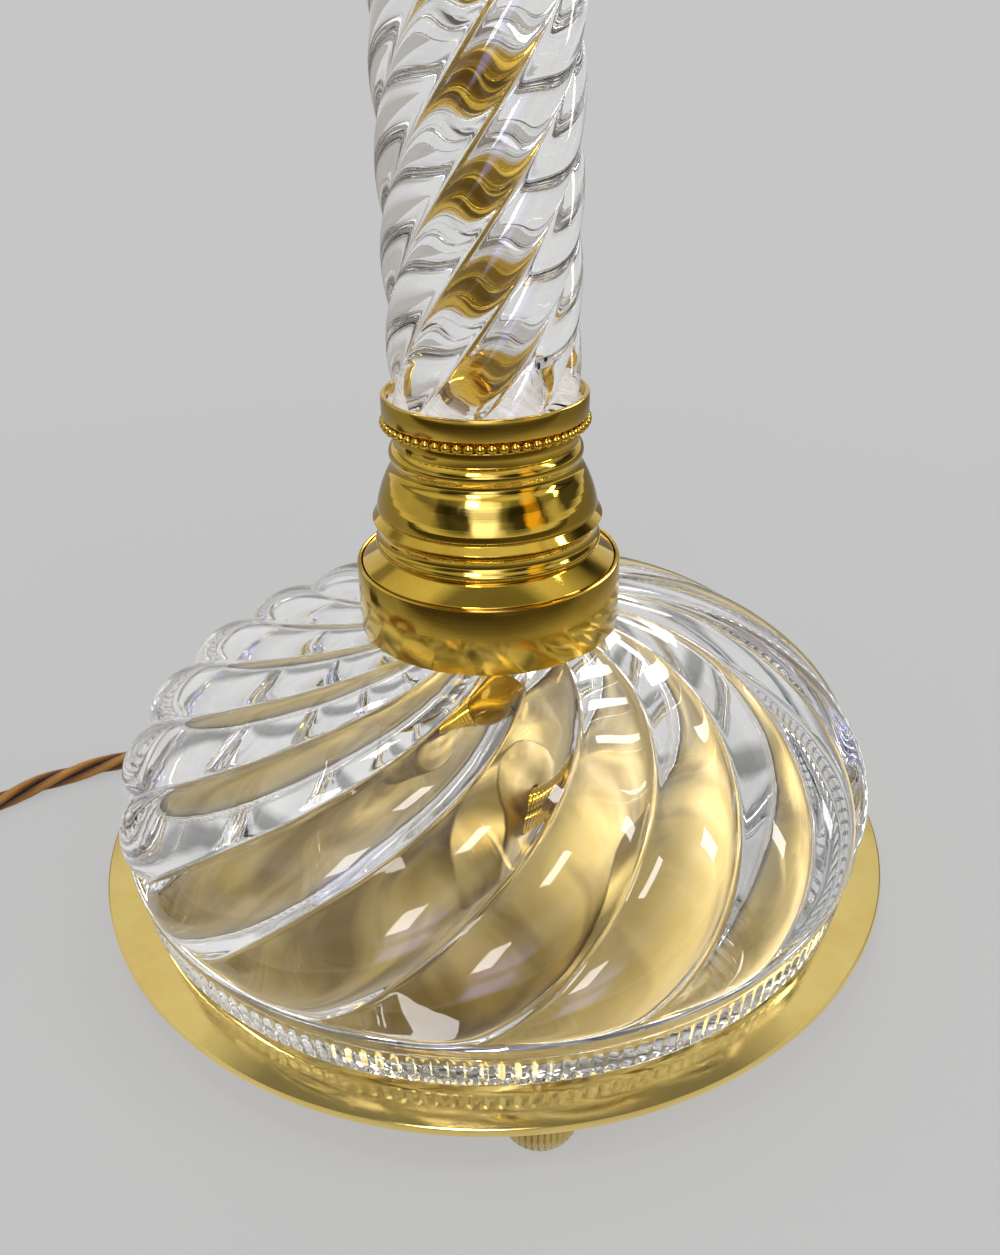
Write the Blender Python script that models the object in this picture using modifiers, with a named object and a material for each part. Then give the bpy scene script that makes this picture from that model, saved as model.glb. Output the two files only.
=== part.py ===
"""Table lamp: twisted glass column on a swirl-ribbed glass base and a round brass plate.

Lengths are metres, +Z is up, and the origin is on the table under the middle of the plate.
"""
import math

import bmesh
import bpy
from mathutils import Matrix, Vector

# Fits
CLEARANCE = 0.0003
FREE_FIT = 0.0008
TABLE_GAP = 0.0001

# Feet and their screws
FOOT_COUNT = 3
FOOT_HEIGHT = 0.0095
FOOT_RADIUS = 0.0084
FOOT_WAIST = 0.0060
FOOT_TOP_ROUNDING = 0.0023
FOOT_BOTTOM_ROUNDING = 0.0032
FOOT_INSET = 0.0100
FOOT_AZIMUTH = math.radians(-85)
SCREW_RADIUS = 0.0012
SCREW_HEAD_RADIUS = 0.0017
SCREW_HEAD_RISE = 0.0006
SCREW_LENGTH = 0.0070

# Brass plate
PLATE_RADIUS = 0.1000
PLATE_THICKNESS = 0.0022
PLATE_EDGE = 0.0005
BOSS_RADIUS = 0.0160
BOSS_SLOPE = 0.0050
BOSS_RISE = 0.0100

# Threaded tube, its washer and its nuts
TUBE_RADIUS = 0.0050
TUBE_BORE = 0.0036
TUBE_OVERHANG = 0.0010
WASHER_RADIUS = 0.0110
WASHER_THICKNESS = 0.0010
NUT_RADIUS = 0.0082
NUT_THICKNESS = 0.0030

# Glass base
GASKET_THICKNESS = 0.0006
GASKET_WIDTH = 0.0035
PLATE_MARGIN = 0.0056
DOME_RISE = 0.0435
DOME_SPRING = 0.0170
DOME_RINGS = 9
DOME_RIBS = 18
RIB_POINTS = 3
RIB_DEPTH = 0.0030
RIB_DEPTH_AT_NECK = 0.0009
RIB_SWIRL = math.radians(650)
RIB_PHASE = math.radians(26)
RIM_FOOT_INSET = 0.0031
RIM_BAND_INSET = 0.0012
RIM_GROOVE_INSET = 0.0024
RIM_NOTCH_LOW = 0.0022
RIM_NOTCH_HIGH = 0.0077
RIM_BAND_HEIGHT = 0.0103
RIM_GROOVE_HEIGHT = 0.0128
GLASS_SKIRT = 0.0164
CAVITY_RISE = 0.0280
CAVITY_RINGS = 5
NECK_RADIUS = 0.0288
NECK_HEIGHT = 0.0110

# Drum cap on the glass base
DRUM_RADIUS = 0.0312
DRUM_HEIGHT = 0.0161
DRUM_WALL = 0.0012
DRUM_ROOF = 0.0015
DRUM_LIP = 0.0012

# Moulded collar, with the drop, flare and bulge of each moulding from its neck down
COLLAR_RADIUS = 0.0212
COLLAR_MOULDINGS = (
    (0.0016, 0.0000, 0.0000),
    (0.0018, -0.0003, 0.0000),
    (0.0002, 0.0003, 0.0000),
    (0.0030, 0.0008, 0.0005),
    (0.0008, -0.0004, 0.0000),
    (0.0026, 0.0010, -0.0003),
    (0.0086, 0.0030, 0.0004),
    (0.0008, -0.0006, 0.0000),
    (0.0016, 0.0018, 0.0000),
    (0.0014, -0.0011, 0.0000),
    (0.0029, 0.0001, -0.0003),
    (0.0032, -0.0006, 0.0009),
    (0.0031, 0.0046, 0.0000),
)
COLLAR_EDGE = 0.0009
COLLAR_BORE = 0.0175
COLLAR_ROOF = 0.0015

# Cup, bead ring and plaster at each end of the column
CUP_RADIUS = 0.0232
CUP_HEIGHT = 0.0049
CUP_WALL = 0.0011
CUP_FLOOR = 0.0010
CUP_SPIGOT_RADIUS = 0.0212
CUP_SPIGOT_HEIGHT = 0.0025
BEAD_COUNT = 58
BEAD_RADIUS = 0.00115
BEAD_NECK_RADIUS = 0.00055
PLASTER_THICKNESS = 0.0009

# Glass column
COLUMN_LENGTH = 0.2320
COLUMN_CREST = 0.0212
COLUMN_VALLEY = 0.0180
COLUMN_BORE = 0.0068
COLUMN_LOBES = 8
COLUMN_PITCH = 0.1427
COLUMN_CREASE_HEIGHT = 0.1614
COLUMN_RINGS = 30
LOBE_POINTS = 3

# Cap and spacer over the column
CAP_HEIGHT = 0.0150
CAP_TOP_RADIUS = 0.0090
CAP_NECK_HEIGHT = 0.0033
CAP_STEP = 0.0006
CAP_SWELL = 0.0018
CAP_SHOULDER_RADIUS = 0.0174
CAP_SHOULDER_HEIGHT = 0.0045
CAP_SKIRT_HEIGHT = 0.0018
CAP_WALL = 0.0015
CAP_ROOF = 0.0057
SPACER_RADIUS = 0.0068
SPACER_RIM = 0.0008
SPACER_RIM_HEIGHT = 0.0018
SPACER_HEIGHT = 0.0070

# Lampholder
HOLDER_RADIUS = 0.0160
HOLDER_WALL = 0.0012
HOLDER_CAP_HEIGHT = 0.0157
HOLDER_SHOULDER = 0.0080
HOLDER_CURVE_RADIUS = 0.0136
HOLDER_CURVE_HEIGHT = 0.0022
HOLDER_SEAT_RADIUS = 0.0088
BARREL_RADIUS = 0.0126
BARREL_BORE = 0.0112
BARREL_HEIGHT = 0.0350
BARREL_SKIRT_RADIUS = 0.0156
BARREL_SKIRT_HEIGHT = 0.0095
BARREL_SHOULDER = 0.0015
BARREL_LEDGE = 0.0018
BAYONET_WIDTH = 0.0026
BAYONET_DEPTH = 0.0085
BAYONET_TURN = 0.0045
SHADE_RING_RADIUS = 0.0195
SHADE_RING_HUB = 0.0152
SHADE_RING_HEIGHT = 0.0060
SHADE_RING_FLANGE = 0.0016
INSULATOR_RADIUS = 0.0108
INSULATOR_HEIGHT = 0.0085
PLUNGER_SPACING = 0.0084
PLUNGER_RADIUS = 0.0019
PLUNGER_LENGTH = 0.0090
PLUNGER_BORE_DEPTH = 0.0075
SPRING_LENGTH = 0.0042
SPRING_TURNS = 3
SPRING_RADIUS = 0.0013
SPRING_WIRE = 0.0002
TERMINAL_RADIUS = 0.0017
TERMINAL_LENGTH = 0.0055
TERMINAL_SPACING = 0.0100
TERMINAL_SET_BACK = 0.0040
LEAD_RADIUS = 0.0009
LEAD_SPACING = 0.0026
SWITCH_RADIUS = 0.0022
SWITCH_REACH = 0.0060
SWITCH_SET_BACK = 0.0075
SWITCH_HEIGHT = 0.0105

# Flex
FLEX_RADIUS = 0.0028
FLEX_BEND = 0.0085
FLEX_HEADING = math.radians(112)
FLEX_PROUD = 0.0020
CLIP_INSET = 0.0172
CLIP_AZIMUTH = math.radians(132.55)
CLIP_LENGTH = 0.0080
CLIP_WALL = 0.0008
CLIP_EAR = 0.0070
CLIP_SCREW_HEAD = 0.0005

# Lie of the flex: under the plate in shares of the clip's place, and beyond it in plate radii,
# with its height as a share of the way from one end's level to the other's
UNDER_PLATE_LIE = ((0.205, 0.492), (0.366, 0.770), (0.616, 0.951))
TABLE_LIE = (
    (-0.780, 0.590, 0.52), (-0.900, 0.522, 0.12), (-1.063, 0.426, 0.0), (-1.170, 0.368, 0.0),
    (-1.285, 0.310, 0.0), (-1.386, 0.235, 0.0), (-1.478, 0.148, 0.0), (-1.545, 0.085, 0.0),
    (-1.611, 0.022, 0.0), (-1.680, -0.026, 0.12))
TAIL_LIE = (
    (-2.032, -0.100, 0.94), (-2.156, -0.089, 0.56), (-2.258, -0.018, 0.18), (-2.310, 0.094, 0.0),
    (-2.306, 0.198, 0.0), (-2.267, 0.278, 0.11), (-2.232, 0.347, 0.36))
COIL_PLACE = (-1.795, -0.510)
PLUG_PLACE = (-2.220, 0.480)

# Coil of the length that isn't laid out, and its tie
COIL_START = math.radians(100)
COIL_LOOPS = 7
COIL_LAYERS = 2
COIL_MIDDLE_RADIUS = 0.0336
COIL_STRAND_GAP = 0.0006
LOOP_POINTS = 24
TIE_WALL = 0.0006
TIE_WIDTH = 0.0050
TIE_TURN = 20 / 24

# Plug
PLUG_WIDTH = 0.0480
PLUG_LENGTH = 0.0460
PLUG_NOSE = 0.0260
PLUG_COVER_THICKNESS = 0.0130
PLUG_BASE_THICKNESS = 0.0080
PLUG_ROUNDING = 0.0015
PIN_SPACING = 0.0222
PIN_SET_BACK = 0.0120
PIN_WIDTH = 0.0063
PIN_THICKNESS = 0.0040
PIN_LENGTH = 0.0177
EARTH_PIN_DISTANCE = 0.0222
EARTH_PIN_WIDTH = 0.0040
EARTH_PIN_THICKNESS = 0.0080
EARTH_PIN_LENGTH = 0.0227
PLUG_SCREW_RADIUS = 0.0030
PLUG_SCREW_RISE = 0.0008


# Sizes that follow from the plate's radius
DOME_RADIUS = PLATE_RADIUS - PLATE_MARGIN
RIM_FOOT_RADIUS = DOME_RADIUS - RIM_FOOT_INSET
RIM_BAND_RADIUS = DOME_RADIUS - RIM_BAND_INSET
RIM_GROOVE_RADIUS = DOME_RADIUS - RIM_GROOVE_INSET
CAVITY_RADIUS = DOME_RADIUS - GLASS_SKIRT
FOOT_CIRCLE = PLATE_RADIUS - FOOT_INSET
CLIP_X = (PLATE_RADIUS - CLIP_INSET) * math.cos(CLIP_AZIMUTH)
CLIP_Y = (PLATE_RADIUS - CLIP_INSET) * math.sin(CLIP_AZIMUTH)
COIL_X, COIL_Y = (share * PLATE_RADIUS for share in COIL_PLACE)
PLUG_X, PLUG_Y = (share * PLATE_RADIUS for share in PLUG_PLACE)


def dome_height(radius):
    """Height of the smooth crest surface of the glass base at a radius."""
    return DOME_CENTRE + DOME_RISE * math.sqrt(1 - (radius / DOME_RADIUS) ** 2)


# Levels that follow from the sizes above, from the table up
PLATE_TOP = FOOT_HEIGHT + PLATE_THICKNESS
BOSS_UNDERSIDE = FOOT_HEIGHT + BOSS_RISE
GLASS_BOTTOM = PLATE_TOP + GASKET_THICKNESS + 2 * CLEARANCE
DOME_CENTRE = GLASS_BOTTOM + DOME_SPRING
DRUM_BOTTOM = dome_height(DRUM_RADIUS) + CLEARANCE
DRUM_TOP = DRUM_BOTTOM + DRUM_HEIGHT
NECK_TOP = DRUM_BOTTOM + NECK_HEIGHT
COLLAR_BOTTOM = DRUM_TOP - DRUM_LIP + CLEARANCE
COLLAR_TOP = COLLAR_BOTTOM + COLLAR_EDGE + sum(drop for drop, _, _ in COLLAR_MOULDINGS)
CUP_BOTTOM = COLLAR_TOP + CLEARANCE
CUP_STEP = CUP_BOTTOM + CUP_SPIGOT_HEIGHT
CUP_INSIDE = CUP_STEP + CUP_FLOOR
CUP_LIP = CUP_STEP + CUP_HEIGHT
COLUMN_BOTTOM = CUP_INSIDE + PLASTER_THICKNESS + 2 * CLEARANCE
COLUMN_MIDDLE = COLUMN_BOTTOM + COLUMN_LENGTH / 2
CAP_BOTTOM = 2 * COLUMN_MIDDLE - CUP_BOTTOM + CLEARANCE
SPACER_BOTTOM = CAP_BOTTOM + CAP_HEIGHT + CLEARANCE
HOLDER_BOTTOM = SPACER_BOTTOM + SPACER_HEIGHT + CLEARANCE
UPPER_NUT_BOTTOM = HOLDER_BOTTOM + HOLDER_WALL + CLEARANCE
TUBE_TOP = UPPER_NUT_BOTTOM + NUT_THICKNESS + TUBE_OVERHANG
WASHER_BOTTOM = BOSS_UNDERSIDE - CLEARANCE - WASHER_THICKNESS
LOWER_NUT_BOTTOM = WASHER_BOTTOM - CLEARANCE - NUT_THICKNESS
TUBE_BOTTOM = LOWER_NUT_BOTTOM - TUBE_OVERHANG
BARREL_BOTTOM = HOLDER_BOTTOM + HOLDER_CAP_HEIGHT + CLEARANCE
BARREL_TOP = BARREL_BOTTOM + BARREL_HEIGHT
INSULATOR_BOTTOM = BARREL_BOTTOM + HOLDER_WALL
INSULATOR_TOP = INSULATOR_BOTTOM + INSULATOR_HEIGHT
PLUNGER_BORE_BOTTOM = INSULATOR_TOP - PLUNGER_BORE_DEPTH
PLUNGER_BOTTOM = PLUNGER_BORE_BOTTOM + SPRING_LENGTH + 2 * CLEARANCE
TERMINAL_BOTTOM = INSULATOR_BOTTOM - CLEARANCE - TERMINAL_LENGTH
FLEX_LEVEL = TUBE_BOTTOM - FLEX_BEND
CORD_LEVEL = FLEX_RADIUS + TABLE_GAP
COIL_LEVEL = CORD_LEVEL + TIE_WALL + CLEARANCE
COIL_PITCH = 2 * FLEX_RADIUS + COIL_STRAND_GAP
COIL_OUTER_RADIUS = COIL_MIDDLE_RADIUS + COIL_PITCH * COIL_LOOPS / COIL_LAYERS / 2
PLUG_ENTRY_LEVEL = TABLE_GAP + PLUG_COVER_THICKNESS / 2
TUBE_HOLE = TUBE_RADIUS + CLEARANCE
SCREW_HOLE = SCREW_RADIUS + CLEARANCE

# Colour, roughness and metallic value of each material
BRASS = ("brass", (0.78, 0.60, 0.22), 0.16, 1.0)
DARK_BRASS = ("worn_brass", (0.55, 0.42, 0.17), 0.35, 1.0)
GLASS = ("clear_glass", (0.93, 0.94, 0.95), 0.03, 0.0)
PLASTER = ("plaster", (0.82, 0.80, 0.76), 0.90, 0.0)
STEEL = ("steel", (0.60, 0.60, 0.62), 0.30, 1.0)
FIBRE = ("fibre", (0.20, 0.16, 0.12), 0.90, 0.0)
PHENOLIC = ("phenolic", (0.06, 0.05, 0.045), 0.45, 0.0)
SILK = ("gold_brown_silk", (0.42, 0.24, 0.06), 0.75, 0.0)
TIE_PAPER = ("tie_paper", (0.80, 0.78, 0.72), 0.85, 0.0)


def clear_scene():
    """Remove every object that is already in the file."""
    for old in list(bpy.data.objects):
        bpy.data.objects.remove(old, do_unlink=True)


def new_collection(name):
    """Make a collection in the scene."""
    made = bpy.data.collections.new(name)
    bpy.context.scene.collection.children.link(made)
    return made


def material(look):
    """Return the Principled material for a look, made once."""
    name, colour, roughness, metallic = look
    made = bpy.data.materials.get(name)
    if made is None:
        made = bpy.data.materials.new(name)
        made.use_nodes = True
        shader = made.node_tree.nodes["Principled BSDF"]
        shader.inputs["Base Color"].default_value = (*colour, 1.0)
        shader.inputs["Roughness"].default_value = roughness
        shader.inputs["Metallic"].default_value = metallic
        made.diffuse_color = (*colour, 1.0)
    return made


clear_scene()
LAMP = new_collection("crystal_column_lamp")
CUTTERS = new_collection("cutters")


def add_object(name, data, look, location=(0.0, 0.0, 0.0), turn=0.0):
    """Put mesh or curve data in the lamp's collection with its material."""
    made = bpy.data.objects.new(name, data)
    made.location = location
    made.rotation_euler.z = turn
    data.materials.append(material(look))
    LAMP.objects.link(made)
    return made


def cut(target, cutter):
    """Take a cutter's shape out of an object, and put the cutter with the other cutters."""
    LAMP.objects.unlink(cutter)
    CUTTERS.objects.link(cutter)
    cutter.hide_render = True
    cutter.display_type = "WIRE"
    boolean = target.modifiers.new("cut", "BOOLEAN")
    boolean.operation = "DIFFERENCE"
    boolean.object = cutter


def finish_mesh(name, bm, look, location=(0.0, 0.0, 0.0), turn=0.0, sharp=40):
    """Turn a bmesh into a named object with outward faces, smooth except at its sharp edges."""
    bmesh.ops.recalc_face_normals(bm, faces=bm.faces)
    mesh = bpy.data.meshes.new(name)
    bm.to_mesh(mesh)
    bm.free()
    mesh.shade_smooth()
    mesh.set_sharp_from_angle(angle=math.radians(sharp))
    return add_object(name, mesh, look, location, turn)


def profile_edges(outline):
    """Edges of a closed outline of (radius, height) points, without any edge on the axis."""
    pairs = [(i, (i + 1) % len(outline)) for i in range(len(outline))]
    return [(i, j) for i, j in pairs if outline[i][0] > 0.0 or outline[j][0] > 0.0]


def turned(name, outline, look, location=(0.0, 0.0, 0.0), steps=32):
    """Turn an outline of (radius, height) points about Z with a Screw modifier.

    The outline runs down its outer side, from top to bottom.
    """
    mesh = bpy.data.meshes.new(name)
    points = [(radius, 0.0, height) for radius, height in outline]
    mesh.from_pydata(points, profile_edges(outline), [])
    made = add_object(name, mesh, look, location)
    screw = made.modifiers.new("turn", "SCREW")
    screw.axis = "Z"
    screw.steps = steps
    screw.render_steps = steps
    screw.use_merge_vertices = True
    screw.merge_threshold = 0.00001
    screw.use_smooth_shade = True
    return made


def spun(outline, steps):
    """Spin an outline of (radius, height) points about Z into a bmesh.

    Each vertex keeps the number of its outline point in an integer layer, which is returned too.
    """
    bm = bmesh.new()
    ring = bm.verts.layers.int.new("ring")
    verts = []
    for number, (radius, height) in enumerate(outline):
        vert = bm.verts.new((radius, 0.0, height))
        vert[ring] = number
        verts.append(vert)
    edges = [bm.edges.new((verts[i], verts[j])) for i, j in profile_edges(outline)]
    bmesh.ops.spin(
        bm, geom=verts + edges, cent=(0, 0, 0), axis=(0, 0, 1), angle=math.tau, steps=steps,
        use_merge=True)
    bmesh.ops.remove_doubles(bm, verts=bm.verts, dist=0.00001)
    return bm, ring


def across_lobe(azimuth, lobes):
    """Place across a lobe, from -1 at one crease to 1 at the next."""
    return azimuth * lobes / math.tau % 1.0 * 2 - 1


def ring_outline(outer, inner, bottom, top):
    """Outline of a plain ring with a square section."""
    return [(outer, top), (outer, bottom), (inner, bottom), (inner, top)]


def rod(name, radius, length, look, location, direction="Z", sides=16):
    """Make a plain round rod that starts at its location and runs along Z or X."""
    bm = bmesh.new()
    bmesh.ops.create_cone(
        bm, cap_ends=True, segments=sides, radius1=radius, radius2=radius, depth=length,
        matrix=Matrix.Translation((0, 0, length / 2)))
    if direction == "X":
        bmesh.ops.rotate(bm, verts=bm.verts, matrix=Matrix.Rotation(math.pi / 2, 3, "Y"))
    return finish_mesh(name, bm, look, location)


def block(name, size, look, location, turn=0.0):
    """Make a box of a size, centred at its location."""
    bm = bmesh.new()
    bmesh.ops.create_cube(bm, size=1.0, matrix=Matrix.Diagonal((*size, 1.0)))
    return finish_mesh(name, bm, look, location, turn)


def tube_along(name, points, radius, look, resolution=2):
    """Make a round solid along a list of points, with closed ends."""
    curve = bpy.data.curves.new(name, "CURVE")
    curve.dimensions = "3D"
    curve.bevel_depth = radius
    curve.bevel_resolution = resolution
    curve.use_fill_caps = True
    spline = curve.splines.new("POLY")
    spline.points.add(len(points) - 1)
    for place, point in zip(spline.points, points):
        place.co = (*point, 1.0)
    return add_object(name, curve, look)


def smooth_path(through, spacing):
    """Return points about a spacing apart on a smooth curve through the given ones."""
    ends = [through[0] * 2 - through[1], *through, through[-1] * 2 - through[-2]]
    path = [through[0]]
    for before, start, end, after in zip(ends, ends[1:], ends[2:], ends[3:]):
        steps = max(1, round((end - start).length / spacing))
        for step in range(1, steps + 1):
            t = step / steps
            square = t * t
            cube = square * t
            path.append(0.5 * (
                2 * start + (end - before) * t
                + (2 * before - 5 * start + 4 * end - after) * square
                + (3 * start - before - 3 * end + after) * cube))
    return path


def path_length(points):
    """Length of a path of points."""
    return sum((b - a).length for a, b in zip(points, points[1:]))


def on_circle(radius, azimuth, height=0.0):
    """Point at a radius, azimuth and height."""
    return Vector((radius * math.cos(azimuth), radius * math.sin(azimuth), height))


def foot_azimuths():
    """Azimuth of each foot."""
    return [FOOT_AZIMUTH + math.tau * i / FOOT_COUNT for i in range(FOOT_COUNT)]


def foot_screw_outline(grow):
    """Outline of a foot screw, with its head's rise above the plate, grown by a clearance."""
    head = SCREW_HEAD_RADIUS + grow
    shank = SCREW_RADIUS + grow
    sink = SCREW_HEAD_RADIUS - SCREW_RADIUS
    end = -SCREW_LENGTH - grow
    return [
        (0.0, SCREW_HEAD_RISE + grow), (head, grow), (head, 0.0), (shank, -sink), (shank, end),
        (0.0, end)]


def clip_screw_place():
    """Place of the clip's screw at the height of the plate's underside."""
    half_width = FLEX_RADIUS + CLEARANCE + CLIP_WALL
    return Vector((CLIP_X, CLIP_Y + half_width + CLIP_EAR / 2, FOOT_HEIGHT))


def build_plate():
    """Brass plate with a raised middle for the nut, drilled for the tube and the screws."""
    top = PLATE_THICKNESS
    outline = [
        (BOSS_RADIUS, BOSS_RISE + top), (BOSS_RADIUS + BOSS_SLOPE, top),
        (PLATE_RADIUS - PLATE_EDGE, top), (PLATE_RADIUS, top - PLATE_EDGE),
        (PLATE_RADIUS, PLATE_EDGE), (PLATE_RADIUS - PLATE_EDGE, 0.0),
        (BOSS_RADIUS + BOSS_SLOPE - top, 0.0), (BOSS_RADIUS - top, BOSS_RISE),
        (TUBE_HOLE, BOSS_RISE), (TUBE_HOLE, BOSS_RISE + top)]
    plate = turned("base_plate", outline, BRASS, (0, 0, FOOT_HEIGHT), steps=48)
    for number, azimuth in enumerate(foot_azimuths(), 1):
        place = on_circle(FOOT_CIRCLE, azimuth, PLATE_TOP)
        cut(plate, turned(
            f"foot_screw_hole_{number}", foot_screw_outline(CLEARANCE), STEEL, place, steps=12))
    hole_place = clip_screw_place() - Vector((0, 0, PLATE_THICKNESS))
    cut(plate, rod(
        "clip_screw_hole", SCREW_HOLE, 3 * PLATE_THICKNESS, STEEL, hole_place, sides=12))


def build_feet():
    """Brass bun feet and the screws that hold them to the plate."""
    height = FOOT_HEIGHT - CLEARANCE
    bore_bottom = PLATE_TOP - SCREW_LENGTH - CLEARANCE
    outline = [
        (FOOT_WAIST, height), (FOOT_RADIUS, height - FOOT_TOP_ROUNDING),
        (FOOT_RADIUS, FOOT_BOTTOM_ROUNDING),
        (FOOT_WAIST, 0.0), (0.0, 0.0), (0.0, bore_bottom), (SCREW_HOLE, bore_bottom),
        (SCREW_HOLE, height)]
    for number, azimuth in enumerate(foot_azimuths(), 1):
        turned(f"foot_{number}", outline, BRASS, on_circle(FOOT_CIRCLE, azimuth), steps=20)
        place = on_circle(FOOT_CIRCLE, azimuth, PLATE_TOP)
        turned(f"foot_screw_{number}", foot_screw_outline(0.0), BRASS, place, steps=12)


def dome_outline():
    """Outer side of the glass base from its neck down, and the rib depth at each point."""
    rows = [(0.0, NECK_TOP, 0.0), (NECK_RADIUS, NECK_TOP, 0.0)]
    start = math.acos(NECK_RADIUS / DOME_RADIUS)
    for i in range(DOME_RINGS + 1):
        share = i / DOME_RINGS
        t = start * (1 - share)
        depth = min(RIB_DEPTH, RIB_DEPTH_AT_NECK + 2 * share * (RIB_DEPTH - RIB_DEPTH_AT_NECK))
        rows.append((DOME_RADIUS * math.cos(t), DOME_CENTRE + DOME_RISE * math.sin(t), depth))
    rows += [
        (RIM_GROOVE_RADIUS, GLASS_BOTTOM + RIM_GROOVE_HEIGHT, 0.0),
        (RIM_BAND_RADIUS, GLASS_BOTTOM + RIM_BAND_HEIGHT, 0.0),
        ((RIM_BAND_RADIUS + RIM_GROOVE_RADIUS) / 2, GLASS_BOTTOM + RIM_NOTCH_HIGH, 0.0),
        ((RIM_FOOT_RADIUS + RIM_GROOVE_RADIUS) / 2, GLASS_BOTTOM + RIM_NOTCH_LOW, 0.0),
        (RIM_FOOT_RADIUS, GLASS_BOTTOM, 0.0), (0.0, GLASS_BOTTOM, 0.0)]
    return [(radius, height) for radius, height, _ in rows], [depth for _, _, depth in rows]


def build_glass_base():
    """Glass base: its turned shape sinks into creases between ribs that swirl down its side."""
    outline, depths = dome_outline()
    bm, ring = spun(outline, DOME_RIBS * RIB_POINTS)
    first, last = 2, DOME_RINGS + 2
    swirls = []
    swirl = RIB_PHASE
    for i, (here, after) in enumerate(zip(outline, outline[1:] + outline[:1])):
        swirls.append(swirl)
        if first <= i < last:
            swirl -= RIB_SWIRL * math.dist(here, after)
    for vert in bm.verts:
        number = vert[ring]
        across = across_lobe(math.atan2(vert.co.y, vert.co.x), DOME_RIBS)
        outward = Vector((
            vert.co.x / DOME_RADIUS ** 2, vert.co.y / DOME_RADIUS ** 2,
            (vert.co.z - DOME_CENTRE) / DOME_RISE ** 2)).normalized()
        vert.co -= outward * depths[number] * across ** 2
        vert.co.rotate(Matrix.Rotation(swirls[number], 3, "Z"))
    glass = finish_mesh("glass_base", bm, GLASS)
    hollow = [(0.0, GLASS_BOTTOM + CAVITY_RISE)]
    for i in range(1, CAVITY_RINGS + 1):
        t = math.pi / 2 * (1 - i / CAVITY_RINGS)
        hollow.append((CAVITY_RADIUS * math.cos(t), GLASS_BOTTOM + CAVITY_RISE * math.sin(t)))
    hollow += [(CAVITY_RADIUS, PLATE_TOP), (0.0, PLATE_TOP)]
    cut(glass, turned("glass_base_hollow", hollow, GLASS, steps=36))
    bore_place = (0, 0, GLASS_BOTTOM)
    bore_length = NECK_TOP - GLASS_BOTTOM + FREE_FIT
    cut(glass, rod("glass_base_bore", TUBE_RADIUS + FREE_FIT, bore_length, GLASS, bore_place))
    inner = CAVITY_RADIUS + FREE_FIT
    gasket = ring_outline(inner + GASKET_WIDTH, inner, 0.0, GASKET_THICKNESS)
    turned("glass_gasket", gasket, FIBRE, (0, 0, PLATE_TOP + CLEARANCE), steps=36)


def build_drum():
    """Drum cap over the neck of the glass base, and the plaster between them."""
    roof = DRUM_TOP - DRUM_LIP
    inside = DRUM_RADIUS - DRUM_WALL
    lip_inside = collar_flange_radius() + CLEARANCE
    outline = [
        (DRUM_RADIUS, DRUM_TOP), (DRUM_RADIUS, DRUM_BOTTOM), (inside, DRUM_BOTTOM),
        (inside, roof - DRUM_ROOF), (TUBE_HOLE, roof - DRUM_ROOF), (TUBE_HOLE, roof),
        (lip_inside, roof), (lip_inside, DRUM_TOP)]
    turned("drum_cap", outline, BRASS, steps=40)
    plaster = ring_outline(
        NECK_RADIUS, TUBE_RADIUS + FREE_FIT, NECK_TOP + CLEARANCE, roof - DRUM_ROOF - CLEARANCE)
    turned("drum_plaster", plaster, PLASTER, steps=20)


def collar_flange_radius():
    """Radius of the collar's flange, at the foot of its mouldings."""
    return COLLAR_RADIUS + sum(flare for _, flare, _ in COLLAR_MOULDINGS)


def build_collar():
    """Hollow brass collar whose mouldings spread from its neck to its flange."""
    radius, height = COLLAR_RADIUS, COLLAR_TOP
    outline = [(radius, height)]
    for drop, flare, bulge in COLLAR_MOULDINGS:
        if bulge:
            outline.append((radius + flare / 2 + bulge, height - drop / 2))
        radius += flare
        height -= drop
        outline.append((radius, height))
    outline += [
        (radius, COLLAR_BOTTOM), (COLLAR_BORE, COLLAR_BOTTOM),
        (COLLAR_BORE, COLLAR_TOP - COLLAR_ROOF), (TUBE_HOLE, COLLAR_TOP - COLLAR_ROOF),
        (TUBE_HOLE, COLLAR_TOP)]
    turned("collar", outline, BRASS, steps=28)


def mirrored(outline):
    """Outline turned upside down about the middle of the column, still running down outside."""
    return [(radius, 2 * COLUMN_MIDDLE - height) for radius, height in reversed(outline)]


def build_bead_ring(name, height):
    """Ring of round beads joined in one piece."""
    centre = CUP_SPIGOT_RADIUS + CLEARANCE + BEAD_RADIUS
    section = [
        (centre, BEAD_RADIUS), (centre + BEAD_RADIUS, 0.0), (centre, -BEAD_RADIUS),
        (centre - BEAD_RADIUS, 0.0)]
    bm, _ = spun(section, 2 * BEAD_COUNT)
    for vert in bm.verts:
        azimuth = math.atan2(vert.co.y, vert.co.x)
        if round(azimuth * BEAD_COUNT / math.pi) % 2:
            core = on_circle(centre, azimuth)
            vert.co = core + (vert.co - core) * BEAD_NECK_RADIUS / BEAD_RADIUS
    finish_mesh(name, bm, BRASS, (0, 0, height), sharp=80)


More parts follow.
